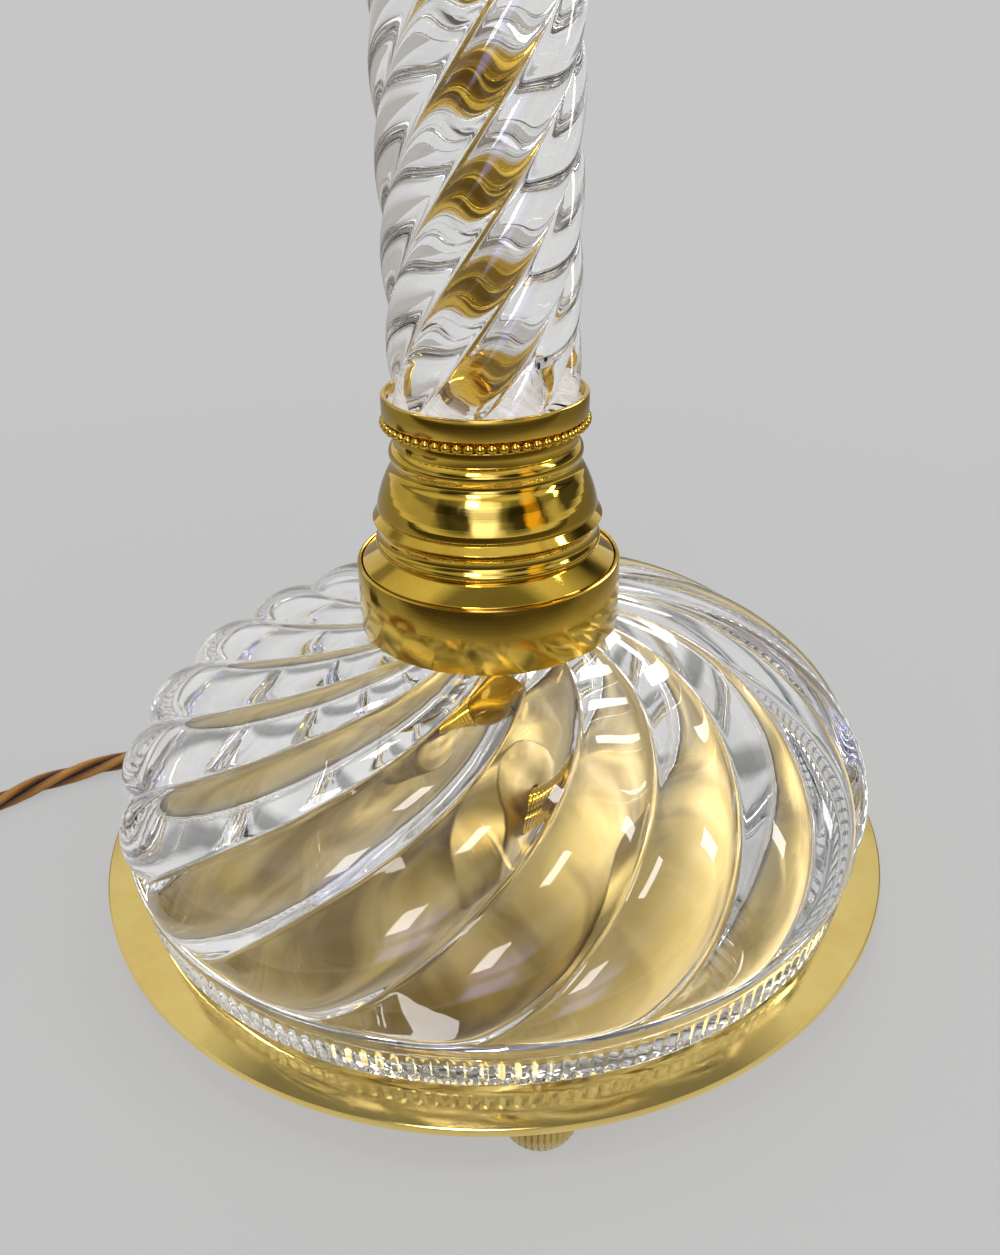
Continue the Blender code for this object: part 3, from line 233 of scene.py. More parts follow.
# %% Glass material
def glass_material(name, tint, ripple, bounces_kept):
    """Clear glass with a rippled skin that lets lamp light and trapped rays through."""
    made, tree, shader = start_material(name)
    place = object_place(tree)
    wide = add_node(tree, "ShaderNodeTexNoise", {"Vector": place, "Scale": 55.0, "Detail": 1.0})
    fine = add_node(tree, "ShaderNodeTexNoise", {"Vector": place, "Scale": 260.0, "Detail": 1.0})
    wide_bump = add_node(tree, "ShaderNodeBump", {
        "Height": wide.outputs["Fac"], "Strength": ripple, "Distance": 0.0012})
    fine_bump = add_node(tree, "ShaderNodeBump", {
        "Height": fine.outputs["Fac"], "Strength": ripple * 0.5, "Distance": 0.0002,
        "Normal": wide_bump.outputs[0]})
    tree.links.new(fine_bump.outputs[0], shader.inputs["Normal"])
    set_inputs(shader, Base_Color=(*tint, 1.0), Roughness=0.0, IOR=1.52, Transmission_Weight=1.0)
    path = add_node(tree, "ShaderNodeLightPath")
    trapped = add_node(tree, "ShaderNodeMath", {
        0: path.outputs["Ray Depth"], 1: bounces_kept}, operation="GREATER_THAN")
    let_through = add_node(tree, "ShaderNodeMath", {
        0: path.outputs["Is Shadow Ray"], 1: trapped.outputs[0]}, operation="MAXIMUM")
    passing = add_node(tree, "ShaderNodeBsdfTransparent", {"Color": (0.86, 0.87, 0.87, 1.0)})
    mixed = add_node(tree, "ShaderNodeMixShader", {
        0: let_through.outputs[0], 1: shader.outputs[0], 2: passing.outputs[0]})
    output = next(n for n in tree.nodes if n.type == "OUTPUT_MATERIAL")
    tree.links.new(mixed.outputs[0], output.inputs["Surface"])
    return made


base_glass = glass_material("pressed_glass", (0.985, 0.985, 0.98), 0.12, 5.0)
column_glass = glass_material("column_glass", (0.985, 0.985, 0.985), 0.10, 9.0)

# %% [markdown]
# ### Plaster, steel, fibre, moulded phenolic and paper
# These smaller parts share one recipe: two colours mixed by noise, a roughness and a bump. Only
# the scale and the strength change from chalky plaster to a moulded plug.


# %% Plain materials
def speckled_material(name, first, second, scale, rough, bump, distance, metallic=0.0):
    """A material of two colours mixed by noise, with a matching bump."""
    made, tree, shader = start_material(name)
    place = object_place(tree)
    grain = add_node(tree, "ShaderNodeTexNoise", {
        "Vector": place, "Scale": scale, "Detail": 6.0, "Roughness": 0.65})
    tree.links.new(
        ramp(tree, grain.outputs["Fac"], (0.36, first), (0.64, second)),
        shader.inputs["Base Color"])
    tree.links.new(
        ramp(tree, grain.outputs["Fac"], (0.3, (rough * 1.15,)), (0.7, (rough * 0.85,))),
        shader.inputs["Roughness"])
    raised = add_node(tree, "ShaderNodeBump", {
        "Height": grain.outputs["Fac"], "Strength": bump, "Distance": distance})
    tree.links.new(raised.outputs[0], shader.inputs["Normal"])
    set_inputs(shader, Metallic=metallic)
    return made


plaster = speckled_material(
    "white_plaster", (0.62, 0.58, 0.56), (0.86, 0.84, 0.82), 900.0, 0.85, 0.6, 0.0003)
steel = speckled_material(
    "plain_steel", (0.46, 0.46, 0.48), (0.66, 0.66, 0.68), 500.0, 0.28, 0.2, 0.00005, 1.0)
fibre = speckled_material(
    "black_fibre", (0.10, 0.07, 0.05), (0.20, 0.15, 0.10), 1400.0, 0.9, 0.5, 0.0001)
phenolic = speckled_material(
    "brown_phenolic", (0.035, 0.026, 0.022), (0.060, 0.045, 0.036), 160.0, 0.34, 0.08, 0.0001)
tie_paper = speckled_material(
    "cream_paper", (0.62, 0.58, 0.48), (0.78, 0.74, 0.64), 1200.0, 0.8, 0.4, 0.0001)

# %% [markdown]
# ### Braided silk
# The flex is three rubber cores, each in a braided silk sleeve, twisted together. The braid is
# two sets of waves that cross, read from the piece's own UV map, where U runs along the flex in
# metres and V goes once round it. The colour is painted darker in the grooves between the cores: painted
# shade where little light gets there, and dust.

# %% Silk material
STRANDS = 3


def silk_material():
    """Braided silk that reads a UV map along and round the flex."""
    made, tree, shader = start_material("braided_silk")
    spot = add_node(tree, "ShaderNodeTexCoord").outputs["UV"]
    parts = add_node(tree, "ShaderNodeSeparateXYZ", {0: spot})
    waves = []
    for side in (1, -1):
        along = add_node(tree, "ShaderNodeMath", {
            0: parts.outputs["X"], 1: 9000.0}, operation="MULTIPLY")
        across = add_node(tree, "ShaderNodeMath", {
            0: parts.outputs["Y"], 1: side * STRANDS * 10 * math.tau}, operation="MULTIPLY")
        both = add_node(tree, "ShaderNodeMath", {
            0: along.outputs[0], 1: across.outputs[0]}, operation="ADD")
        waves.append(add_node(tree, "ShaderNodeMath", {0: both.outputs[0]}, operation="SINE"))
    braid = add_node(tree, "ShaderNodeMath", {
        0: waves[0].outputs[0], 1: waves[1].outputs[0]}, operation="MAXIMUM")
    # Painted shade: the colour runs from nearly black in the grooves between the cores to the silk's
    # colour on their crests.
    turned_round = add_node(tree, "ShaderNodeMath", {
        0: parts.outputs["Y"], 1: STRANDS * math.tau}, operation="MULTIPLY")
    crest_to_groove_shade = add_node(tree, "ShaderNodeMath", {0: turned_round.outputs[0]}, operation="COSINE")
    base = ramp(
        tree, add_node(tree, "ShaderNodeMapRange", {
            "Value": crest_to_groove_shade.outputs[0], "From Min": -1.0, "From Max": 1.0}).outputs[0],
        (0.0, (0.050, 0.013, 0.001)), (0.42, (0.255, 0.090, 0.004)),
        (1.0, (0.58, 0.265, 0.036)))
    thread = ramp(
        tree, add_node(tree, "ShaderNodeMapRange", {
            "Value": braid.outputs[0], "From Min": -0.4, "From Max": 1.0}).outputs[0],
        (0.0, (0.55, 0.55, 0.55)), (1.0, (1.08, 1.08, 1.08)))
    tinted = add_node(tree, "ShaderNodeMix", {
        0: 1.0, 6: base, 7: thread}, data_type="RGBA", blend_type="MULTIPLY")
    slub = add_node(tree, "ShaderNodeTexNoise", {
        "Vector": object_place(tree), "Scale": 130.0, "Detail": 3.0})
    varied = add_node(tree, "ShaderNodeMix", {
        0: 1.0, 6: tinted.outputs[2],
        7: ramp(tree, slub.outputs["Fac"], (0.3, (0.82, 0.80, 0.78)), (0.7, (1.1, 1.1, 1.08)))},
        data_type="RGBA", blend_type="MULTIPLY")
    tree.links.new(varied.outputs[2], shader.inputs["Base Color"])
    raised = add_node(tree, "ShaderNodeBump", {
        "Height": braid.outputs[0], "Strength": 0.5, "Distance": 0.00008})
    tree.links.new(raised.outputs[0], shader.inputs["Normal"])
    set_inputs(shader, Roughness=0.55, Sheen_Weight=0.35, Sheen_Roughness=0.4)
    return made


silk = silk_material()
print("materials", len(bpy.data.materials))

# %% [markdown]
# ## Making and finishing a piece
# Most of this lamp was made on a lathe, and the matching operator is spin: a few vertices give
# the outline, bevel rounds its corners, and spin carries it once round the axis. Every mesh then
# goes through one finishing step: doubles merged, faces turned outward, smooth shading with
# sharp edges kept, a ride on its body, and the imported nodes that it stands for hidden.

# %% Finishing and turning
WELD = 0.000002
CORNER_ARC = 2


def finish_piece(name, bm, look, stands_for=(), body="lamp", keep_edges=34.0):
    """Turn a bmesh into a finished piece of the lamp."""
    bmesh.ops.remove_doubles(bm, verts=bm.verts, dist=WELD)
    bmesh.ops.recalc_face_normals(bm, faces=bm.faces)
    if bm.calc_volume(signed=True) < 0:
        bmesh.ops.reverse_faces(bm, faces=bm.faces)
    mesh = bpy.data.meshes.new(name)
    bm.to_mesh(mesh)
    bm.free()
    mesh.shade_smooth()
    mesh.set_sharp_from_angle(angle=math.radians(keep_edges))
    mesh.materials.append(look)
    piece = bpy.data.objects.new(name, mesh)
    bpy.context.scene.collection.objects.link(piece)
    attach(piece, body)
    if stands_for:
        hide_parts(*stands_for)
    print(name, len(mesh.polygons), "faces")
    return piece


def turned(outline, steps, rounding=0.0, closed=True, centre=(0.0, 0.0)):
    """Spin an outline of radius and height once round an upright axis."""
    bm = bmesh.new()
    verts = [bm.verts.new((radius, 0.0, height)) for radius, height in outline]
    ends = verts[1:] + verts[:1] if closed else verts[1:]
    for start, end in zip(verts, ends):
        bm.edges.new((start, end))
    if rounding:
        bmesh.ops.bevel(
            bm, geom=verts, offset=rounding, affect="VERTICES", segments=CORNER_ARC,
            profile=0.5, material=-1, clamp_overlap=True)
    bmesh.ops.spin(
        bm, geom=bm.verts[:] + bm.edges[:], cent=(0, 0, 0), axis=(0, 0, 1), angle=math.tau,
        steps=steps, use_merge=True)
    bmesh.ops.translate(bm, vec=(*centre, 0.0), verts=bm.verts)
    return bm


def on_circle(radius, azimuth, height=0.0):
    """Point at a radius, azimuth and height."""
    return Vector((radius * math.cos(azimuth), radius * math.sin(azimuth), height))


# %% [markdown]
# ## The flex
# A twisted flex keeps its length, so its route is settled before its shape. It comes down the
# tube, bends under the plate, goes through a clip, and leaves over the table to the left, as in
# the photograph. What the photograph doesn't show is wound in a two-layer coil of seven loops,
# just outside the view, and ends in a plug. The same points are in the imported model.

# %% Route of the flex
FLEX_RADIUS = 0.0028
CLEARANCE = 0.0003
TABLE_GAP = 0.0001
PLATE_RADIUS = 0.1000
CLIP_PLACE = on_circle(0.0828, math.radians(132.55))
CLIP_LENGTH = 0.0080
CLIP_END = CLIP_PLACE.x - CLIP_LENGTH / 2
FLEX_LEVEL = 0.0054
CORD_LEVEL = FLEX_RADIUS + TABLE_GAP
COIL_CENTRE = Vector((-0.1795, -0.0510, 0.0038))
COIL_START = math.radians(100)
COIL_LOOPS = 7
LOOP_POINTS = 24
COIL_PITCH = 2 * FLEX_RADIUS + 0.0006
COIL_MIDDLE_RADIUS = 0.0336
PLUG_X, PLUG_Y = -0.2220, 0.0480
PLUG_ENTRY_LEVEL = 0.0066
UNDER_PLATE_LIE = ((0.205, 0.492), (0.366, 0.770), (0.616, 0.951))
TABLE_LIE = (
    (-0.780, 0.590, 0.52), (-0.900, 0.522, 0.12), (-1.063, 0.426, 0.0), (-1.170, 0.368, 0.0),
    (-1.285, 0.310, 0.0), (-1.386, 0.235, 0.0), (-1.478, 0.148, 0.0), (-1.545, 0.085, 0.0),
    (-1.611, 0.022, 0.0), (-1.680, -0.026, 0.12))
TAIL_LIE = (
    (-2.032, -0.100, 0.94), (-2.156, -0.089, 0.56), (-2.258, -0.018, 0.18), (-2.310, 0.094, 0.0),
    (-2.306, 0.198, 0.0), (-2.267, 0.278, 0.11), (-2.232, 0.347, 0.36))


def smooth_path(through, spacing):
    """Points about a spacing apart on a smooth curve through the given ones."""
    ends = [through[0] * 2 - through[1], *through, through[-1] * 2 - through[-2]]
    path = [through[0]]
    for before, start, end, after in zip(ends, ends[1:], ends[2:], ends[3:]):
        steps = max(1, round((end - start).length / spacing))
        for step in range(1, steps + 1):
            t = step / steps
            path.append(0.5 * (
                2 * start + (end - before) * t
                + (2 * before - 5 * start + 4 * end - after) * t ** 2
                + (3 * start - before - 3 * end + after) * t ** 3))
    return path


def coil_points():
    """Loops of the put-away flex: one layer spirals in, and the next spirals out over it."""
    total = COIL_LOOPS * LOOP_POINTS
    half = total // 2
    outer = COIL_MIDDLE_RADIUS + COIL_PITCH * COIL_LOOPS / 4
    points = []
    for i in range(total + 1):
        inward = half - abs(half - i)
        risen = min(1.0, max(0.0, (i - half) / (LOOP_POINTS // 2) + 0.5))
        points.append(COIL_CENTRE + on_circle(
            outer - COIL_PITCH * inward / LOOP_POINTS, COIL_START + math.tau * i / LOOP_POINTS,
            COIL_PITCH * (3 - 2 * risen) * risen ** 2))
    along = coil_heading * 2 * FLEX_RADIUS
    return [points[0] - along, *points, points[-1] + along]


def laid(lie, low, high):
    """Places of a lie that is given in plate radii, between a low and a high level."""
    return [
        Vector((x * PLATE_RADIUS, y * PLATE_RADIUS, low + (high - low) * share))
        for x, y, share in lie]


def path_length(points):
    """Length of a path of points."""
    return sum((b - a).length for a, b in zip(points, points[1:]))


coil_heading = on_circle(1.0, COIL_START + math.pi / 2)
coil = coil_points()
flex_exit = Vector((CLIP_END - CLEARANCE, CLIP_PLACE.y, FLEX_LEVEL))
lead = Vector((2 * FLEX_RADIUS, 0, 0))
coil_lead = coil_heading * 2 * FLEX_RADIUS
before_coil = coil[0] - coil_heading * CLEARANCE
after_coil = coil[-1] + coil_heading * CLEARANCE
plug_entry = Vector((PLUG_X, PLUG_Y - CLEARANCE, PLUG_ENTRY_LEVEL))
table_path = smooth_path([
    flex_exit, flex_exit - lead, *laid(TABLE_LIE, CORD_LEVEL, FLEX_LEVEL),
    before_coil - coil_lead, before_coil], 2.2 * FLEX_RADIUS)
tail_path = smooth_path([
    after_coil, after_coil + coil_lead, *laid(TAIL_LIE, CORD_LEVEL, coil[-1].z),
    plug_entry - Vector((0, 2 * FLEX_RADIUS, 0)), plug_entry], 2.2 * FLEX_RADIUS)
free_path = [*table_path, *coil, *tail_path]

# %% [markdown]
# ### Sweeping a section along a path
# Spin can't follow a free route. Here a closed loop of vertices is extruded again and again, and
# each new loop is moved to the next place on the path and turned a little about it. Three round
# lobes for a section and a steady turn give three twisted cores in one mesh. A UV map is written
# from how far along and how far round each vertex is.

# %% Sweep
FLEX_STEP = 0.0021
TWIST_PITCH = 0.052
STRAND_RADIUS = 0.00130
STRAND_OFFSET = 0.00150
SECTION_POINTS = 24


def evenly_spaced(points, gap):
    """A path through the same places with its points an even gap apart."""
    total = path_length(points)
    count = max(2, round(total / gap))
    step, walked, made = total / count, 0.0, [points[0]]
    for start, end in zip(points, points[1:]):
        run = (end - start).length
        while len(made) < count and walked + run >= step * len(made) - 1e-9:
            made.append(start.lerp(end, (step * len(made) - walked) / run))
        walked += run
    return [*made, points[-1]]


def path_frames(path, pitch, sizes):
    """A matrix for each place on a path, turned once in each pitch and scaled by a size."""
    frames, walked = [], 0.0
    side = Vector((0, 0, 1)) if abs((path[1] - path[0]).normalized().z) < 0.9 else Vector((1, 0, 0))
    for i, point in enumerate(path):
        ahead = (path[min(i + 1, len(path) - 1)] - path[max(i - 1, 0)]).normalized()
        side = (side - ahead * side.dot(ahead)).normalized()
        upright = Matrix((side, ahead.cross(side), ahead)).transposed().to_4x4()
        spin = Matrix.Rotation(math.tau * walked / pitch if pitch else 0.0, 4, "Z")
        frames.append(
            Matrix.Translation(point) @ upright @ spin @ Matrix.Scale(sizes[i], 4))
        walked += (path[min(i + 1, len(path) - 1)] - point).length
    return frames


def swept(section, path, pitch=0.0, sizes=None):
    """Carry a closed section of x and y along a path and close both ends."""
    frames = path_frames(path, pitch, sizes or [1.0] * len(path))
    bm = bmesh.new()
    around = bm.verts.layers.int.new("around")
    along = bm.verts.layers.float.new("along")
    ring = [bm.verts.new((x, y, 0.0)) for x, y in section]
    for i, vert in enumerate(ring):
        vert[around] = i
    edges = [bm.edges.new(pair) for pair in zip(ring, ring[1:] + ring[:1])]
    bmesh.ops.transform(bm, matrix=frames[0], verts=ring)
    walked = 0.0
    for i in range(1, len(path)):
        grown = bmesh.ops.extrude_edge_only(bm, edges=edges)["geom"]
        edges = [g for g in grown if isinstance(g, bmesh.types.BMEdge)]
        ring = [g for g in grown if isinstance(g, bmesh.types.BMVert)]
        carry = frames[i] @ frames[i - 1].inverted()
        walked += (path[i] - path[i - 1]).length
        for vert in ring:
            vert.co = carry @ vert.co
            vert[along] = walked
    bmesh.ops.holes_fill(bm, edges=[e for e in bm.edges if e.is_boundary])
    uv = bm.loops.layers.uv.new("flex")
    count = len(section)
    for face in bm.faces:
        wraps = {loop.vert[around] for loop in face.loops} >= {0, count - 1}
        for loop in face.loops:
            place = loop.vert[around]
            loop[uv].uv = (loop.vert[along], (count if wraps and place == 0 else place) / count)
    return bm


def strand_section():
    """Outline of three round cores that touch."""
    points = []
    for i in range(SECTION_POINTS):
        azimuth = math.tau * i / SECTION_POINTS
        off = (azimuth * STRANDS / math.tau + 0.5) % 1.0 - 0.5
        off *= math.tau / STRANDS
        reach = STRAND_OFFSET * math.cos(off) + math.sqrt(
            max(0.0, STRAND_RADIUS ** 2 - (STRAND_OFFSET * math.sin(off)) ** 2))
        points.append((reach * math.cos(azimuth), reach * math.sin(azimuth)))
    return points


def round_section(radius, points):
    """Outline of a circle."""
    return [tuple(on_circle(radius, math.tau * i / points).xy) for i in range(points)]


free_even = evenly_spaced(free_path, FLEX_STEP)
free_flex = finish_piece(
    "free_flex", swept(strand_section(), free_even, -TWIST_PITCH), silk,
    ("cord", "cord_coil", "cord_tail"), keep_edges=60)

# %% [markdown]
# The flex inside the lamp starts under the lampholder, goes down the tube and bends under the
# plate to the clip. It is the same twisted section on its own path.

# %% Flex inside the lamp
FLEX_BEND = 0.0085
FLEX_HEADING = math.radians(112)
tube_low, tube_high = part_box("threaded_tube")
flex_top = tube_high.z + 0.0020
inner_points = [Vector((0, 0, flex_top)), Vector((0, 0, (flex_top + tube_low.z) / 2))]
for i in range(6):
    t = math.pi / 2 * i / 6
    inner_points.append(on_circle(
        FLEX_BEND * (1 - math.cos(t)), FLEX_HEADING, tube_low.z - FLEX_BEND * math.sin(t)))
clip_end = Vector((CLIP_END, CLIP_PLACE.y, FLEX_LEVEL))
inner_points += smooth_path([
    on_circle(FLEX_BEND, FLEX_HEADING, FLEX_LEVEL),
    *[Vector((x * CLIP_PLACE.x, y * CLIP_PLACE.y, FLEX_LEVEL)) for x, y in UNDER_PLATE_LIE],
    clip_end + Vector((CLIP_LENGTH, 0, 0)), clip_end], 3 * FLEX_RADIUS)
finish_piece(
    "inside_flex", swept(strand_section(), evenly_spaced(inner_points, FLEX_STEP), -TWIST_PITCH),
    silk, ("inner_flex",), keep_edges=60)

# %% [markdown]
# ### Tie and plug
# A strip of paper holds the coil. It is a cube with two sides taken away, its long edges rounded
# and its wall given a thickness. The plug is a tapered cube with rounded edges in two halves,
# with three brass pins, and a rubber sleeve that keeps the flex from bending where it goes in.

# %% Tie
TIE_AZIMUTH = COIL_START + math.tau * 20 / 24
tie_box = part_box("cord_tie")
TIE_WIDTH = 0.0050
TIE_WALL = 0.0005
tie_height = tie_box[1].z - tie_box[0].z
coil_radii = [
    (point - COIL_CENTRE).xy.length for point in coil[1:-1]
    if (point - COIL_CENTRE).xy.normalized() @ on_circle(1.0, TIE_AZIMUTH).xy
    > math.cos(math.pi / LOOP_POINTS)]
tie_length = max(coil_radii) - min(coil_radii) + 2 * FLEX_RADIUS + 0.0022
bm = bmesh.new()
bmesh.ops.create_cube(bm, size=1.0, matrix=Matrix.Diagonal(
    (tie_length - 2 * TIE_WALL, TIE_WIDTH, tie_height - 2 * TIE_WALL, 1.0)))
bmesh.ops.delete(bm, geom=[f for f in bm.faces if abs(f.normal.y) > 0.5], context="FACES_ONLY")
bmesh.ops.bevel(
    bm, geom=[e for e in bm.edges if not e.is_boundary], offset=0.0022, affect="EDGES",
    segments=5, profile=0.5, material=-1)
bmesh.ops.solidify(bm, geom=bm.faces[:], thickness=-TIE_WALL)
bmesh.ops.rotate(bm, verts=bm.verts, matrix=Matrix.Rotation(TIE_AZIMUTH, 3, "Z"))
bmesh.ops.translate(bm, verts=bm.verts, vec=(tie_box[0] + tie_box[1]) / 2)
paper_tie = finish_piece("paper_tie", bm, tie_paper, ("cord_tie",))


# %% Plug
def rounded_block(low, high, rounding, segments, taper=1.0):
    """Cube between two corners, narrower at its near end, with rounded edges."""
    bm = bmesh.new()
    size, centre = high - low, (high + low) / 2
    bmesh.ops.create_cube(bm, size=1.0, matrix=Matrix.Diagonal((*size, 1.0)))
    bmesh.ops.scale(bm, vec=(taper, 1, 1), verts=[v for v in bm.verts if v.co.y < 0])
    bmesh.ops.translate(bm, verts=bm.verts, vec=centre)
    bmesh.ops.bevel(
        bm, geom=bm.edges[:], offset=rounding, affect="EDGES", segments=segments, profile=0.5,
        material=-1)
    return bm


PLUG_TAPER = 0.026 / 0.048
plug_pieces = [
    finish_piece("plug_lower_half", rounded_block(
        *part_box("plug_cover"), 0.0034, 6, PLUG_TAPER), phenolic, ("plug_cover",)),
    finish_piece("plug_upper_half", rounded_block(
        *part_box("plug_base"), 0.0024, 5, PLUG_TAPER), phenolic, ("plug_base",))]
for node in ("plug_pin_left", "plug_pin_right", "plug_pin_earth"):
    plug_pieces.append(finish_piece(
        node + "_brass", rounded_block(*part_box(node), 0.0006, 3), turned_brass, (node,)))
screw_low, screw_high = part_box("plug_screw")
screw_centre = (screw_low + screw_high) / 2
screw_radius = (screw_high.x - screw_low.x) / 2
plug_pieces.append(finish_piece("plug_screw_head", turned(
    [(0.0, screw_high.z), (screw_radius * 0.7, screw_high.z - 0.0001),
     (screw_radius, screw_low.z + 0.0002), (screw_radius, screw_low.z), (0.0, screw_low.z)],
    32, closed=False, centre=screw_centre.xy), steel, ("plug_screw",)))
SLEEVE_LENGTH = 0.021
sleeve_path = [p for p in free_even if p.x < -0.21 and p.y > PLUG_Y - SLEEVE_LENGTH]
sleeve_sizes = [
    0.0034 + 0.0012 * i / (len(sleeve_path) - 1) + (0.0003 if i % 2 else 0.0)
    for i in range(len(sleeve_path))]
plug_pieces.append(finish_piece("plug_sleeve", swept(
    round_section(1.0, 24), sleeve_path, sizes=sleeve_sizes), phenolic, keep_edges=50))

# %% [markdown]
# ## Floor, world and lamps
# A pale studio floor carries the shadow. To keep the ground as even as in the photograph, most
# of what the camera sees of it is a plain grey of its own, and the rest is real light and shade.
# The world is a soft room: the camera sees the same grey, while mirrors see windows and dim
# corners, which give polished brass and cut glass their dark and bright bands.

# %% Floor
GROUND_GREY = 0.565
PALE_TABLE = 0.70


def metal_ray(tree, path):
    """One for a ray that left a mirror, and nought for one that came through glass."""
    return add_node(tree, "ShaderNodeMath", {
        0: path.outputs["Is Glossy Ray"], 1: path.outputs["Is Transmission Ray"]},
        operation="SUBTRACT", use_clamp=True).outputs[0]


def seen_grey(tree, path, place, away):
    """Grey for the camera; for mirrors and glass a glowing floor, pale behind and painted dark in front.
    """
    parts = add_node(tree, "ShaderNodeSeparateXYZ", {0: place})
    # Painted shade: seen in mirrors and glass, the floor glows pale behind the lamp and dark in front of
    # it, as if shaded by someone standing there. It is darker to the right, and glossy reflections
    # alone, not rays through glass, see it darken further out.
    sheet = add_node(tree, "ShaderNodeMapRange", {
        "Value": parts.outputs["Y"], "From Min": -0.24, "From Max": -0.09})
    table = ramp(tree, sheet.outputs[0], (0.0, (0.12, 0.10, 0.08)), (1.0, (PALE_TABLE,)))
    right_side = add_node(tree, "ShaderNodeMapRange", {
        "Value": parts.outputs["X"], "From Min": 0.04, "From Max": 0.30, "To Max": 0.55})
    table = add_node(tree, "ShaderNodeMix", {
        0: right_side.outputs[0], 6: table, 7: (0.26, 0.22, 0.17, 1.0)}, data_type="RGBA")
    far = add_node(tree, "ShaderNodeMapRange", {
        "Value": away, "From Min": 0.13, "From Max": 0.32, "To Max": 0.60})
    dimmed = add_node(tree, "ShaderNodeMath", {
        0: far.outputs[0], 1: metal_ray(tree, path)}, operation="MULTIPLY")
    table = add_node(tree, "ShaderNodeMix", {
        0: dimmed.outputs[0], 6: table.outputs[2], 7: (0.02, 0.016, 0.012, 1.0)},
        data_type="RGBA")
    return add_node(tree, "ShaderNodeMix", {
        0: path.outputs["Is Camera Ray"], 6: table.outputs[2], 7: (GROUND_GREY,) * 3 + (1.0,)},
        data_type="RGBA").outputs[2]


def floor_material():
    """Grey floor, mostly of its own light where it is seen, that still takes a shadow."""
    made, tree, shader = start_material("studio_floor")
    place = object_place(tree)
    grain = add_node(tree, "ShaderNodeTexNoise", {"Vector": place, "Scale": 3.0})
    tree.links.new(ramp(
        tree, grain.outputs["Fac"], (0.3, (0.50,)), (0.7, (0.52,))), shader.inputs["Base Color"])
    set_inputs(shader, Roughness=1.0, Specular_IOR_Level=0.0)
    path = add_node(tree, "ShaderNodeLightPath")
    seen = path.outputs["Is Camera Ray"]
    for kind in ("Is Glossy Ray", "Is Transmission Ray"):
        seen = add_node(tree, "ShaderNodeMath", {
            0: seen, 1: path.outputs[kind]}, operation="MAXIMUM").outputs[0]
    away = add_node(tree, "ShaderNodeVectorMath", {0: place}, operation="LENGTH")
    own_share = add_node(tree, "ShaderNodeMapRange", {
        "Value": away.outputs["Value"], "From Min": 0.12, "From Max": 0.55, "To Min": 0.72,
        "To Max": 1.0})
    share = add_node(tree, "ShaderNodeMath", {
        0: seen, 1: own_share.outputs[0]}, operation="MULTIPLY")
    own = add_node(tree, "ShaderNodeEmission", {
        "Color": seen_grey(tree, path, place, away.outputs["Value"]), "Strength": 1.0})
    mixed = add_node(tree, "ShaderNodeMixShader", {
        0: share.outputs[0], 1: shader.outputs[0], 2: own.outputs[0]})
    output = next(n for n in tree.nodes if n.type == "OUTPUT_MATERIAL")
    tree.links.new(mixed.outputs[0], output.inputs["Surface"])
    return made


bm = bmesh.new()
bmesh.ops.create_circle(bm, cap_ends=True, segments=96, radius=30.0)
floor_mesh = bpy.data.meshes.new("studio_floor")
bm.to_mesh(floor_mesh)
bm.free()
floor_mesh.materials.append(floor_material())
floor = bpy.data.objects.new("studio_floor", floor_mesh)
bpy.context.scene.collection.objects.link(floor)
floor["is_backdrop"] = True

# %% World
ROOM = (
    (-180, 0.78), (-171, 0.76), (-168, 0.08), (-163, 0.10), (-159, 0.76), (-146, 0.74),
    (-140, 0.22), (-134, 0.26), (-128, 1.10), (-122, 1.05), (-119, 0.08), (-114, 0.08),
    (-111, 1.00), (-106, 1.05), (-99, 0.10), (-78, 0.08), (-71, 0.70), (-60, 0.72),
    (-52, 0.36), (-36, 0.36), (-28, 1.10), (-14, 1.00), (1, 0.30), (18, 0.50), (30, 0.52),
    (47, 0.62), (125, 0.74), (138, 0.62), (158, 0.76), (161, 0.16), (165, 0.18), (169, 0.78))
MIRRORED_ROOM = (
    (-180, (0.46,)), (-150, (0.40,)), (-142, (0.12,)), (-128, (0.05,)), (-116, (0.10,)),
    (-108, (2.10, 2.25, 4.60)), (-84, (2.00, 2.15, 4.40)), (-72, (0.30,)), (-60, (0.05,)),
    (-50, (0.06, 0.05, 0.04)), (-44, (1.05, 0.66, 0.10)), (-34, (0.95, 0.60, 0.10)),
    (-28, (0.08, 0.06, 0.05)), (-20, (0.50,)), (-12, (0.55,)), (0, (0.08,)), (28, (0.06,)),
    (42, (0.55,)), (62, (0.70,)), (120, (0.70,)), (150, (0.50,)))
BRIGHTEST = 5.0
world = bpy.data.worlds.new("studio")
bpy.context.scene.world = world
world.use_nodes = True
sky = world.node_tree
direction = add_node(sky, "ShaderNodeTexCoord").outputs["Generated"]
wander = add_node(sky, "ShaderNodeTexNoise", {"Vector": direction, "Scale": 2.2, "Detail": 2.0})
sky_parts = add_node(sky, "ShaderNodeSeparateXYZ", {0: direction})
azimuth = add_node(sky, "ShaderNodeMath", {
    0: sky_parts.outputs["Y"], 1: sky_parts.outputs["X"]}, operation="ARCTAN2")
turned_share = add_node(sky, "ShaderNodeMapRange", {
    "Value": azimuth.outputs[0], "From Min": -math.pi, "From Max": math.pi})
moved = add_node(sky, "ShaderNodeMath", {
    0: wander.outputs["Fac"], 1: 0.10, 2: -0.05}, operation="MULTIPLY_ADD")
place_round = add_node(sky, "ShaderNodeMath", {
    0: turned_share.outputs[0], 1: moved.outputs[0]}, operation="ADD")
walls = ramp(sky, place_round.outputs[0], *[(a / 360 + 0.5, (tone,)) for a, tone in ROOM])
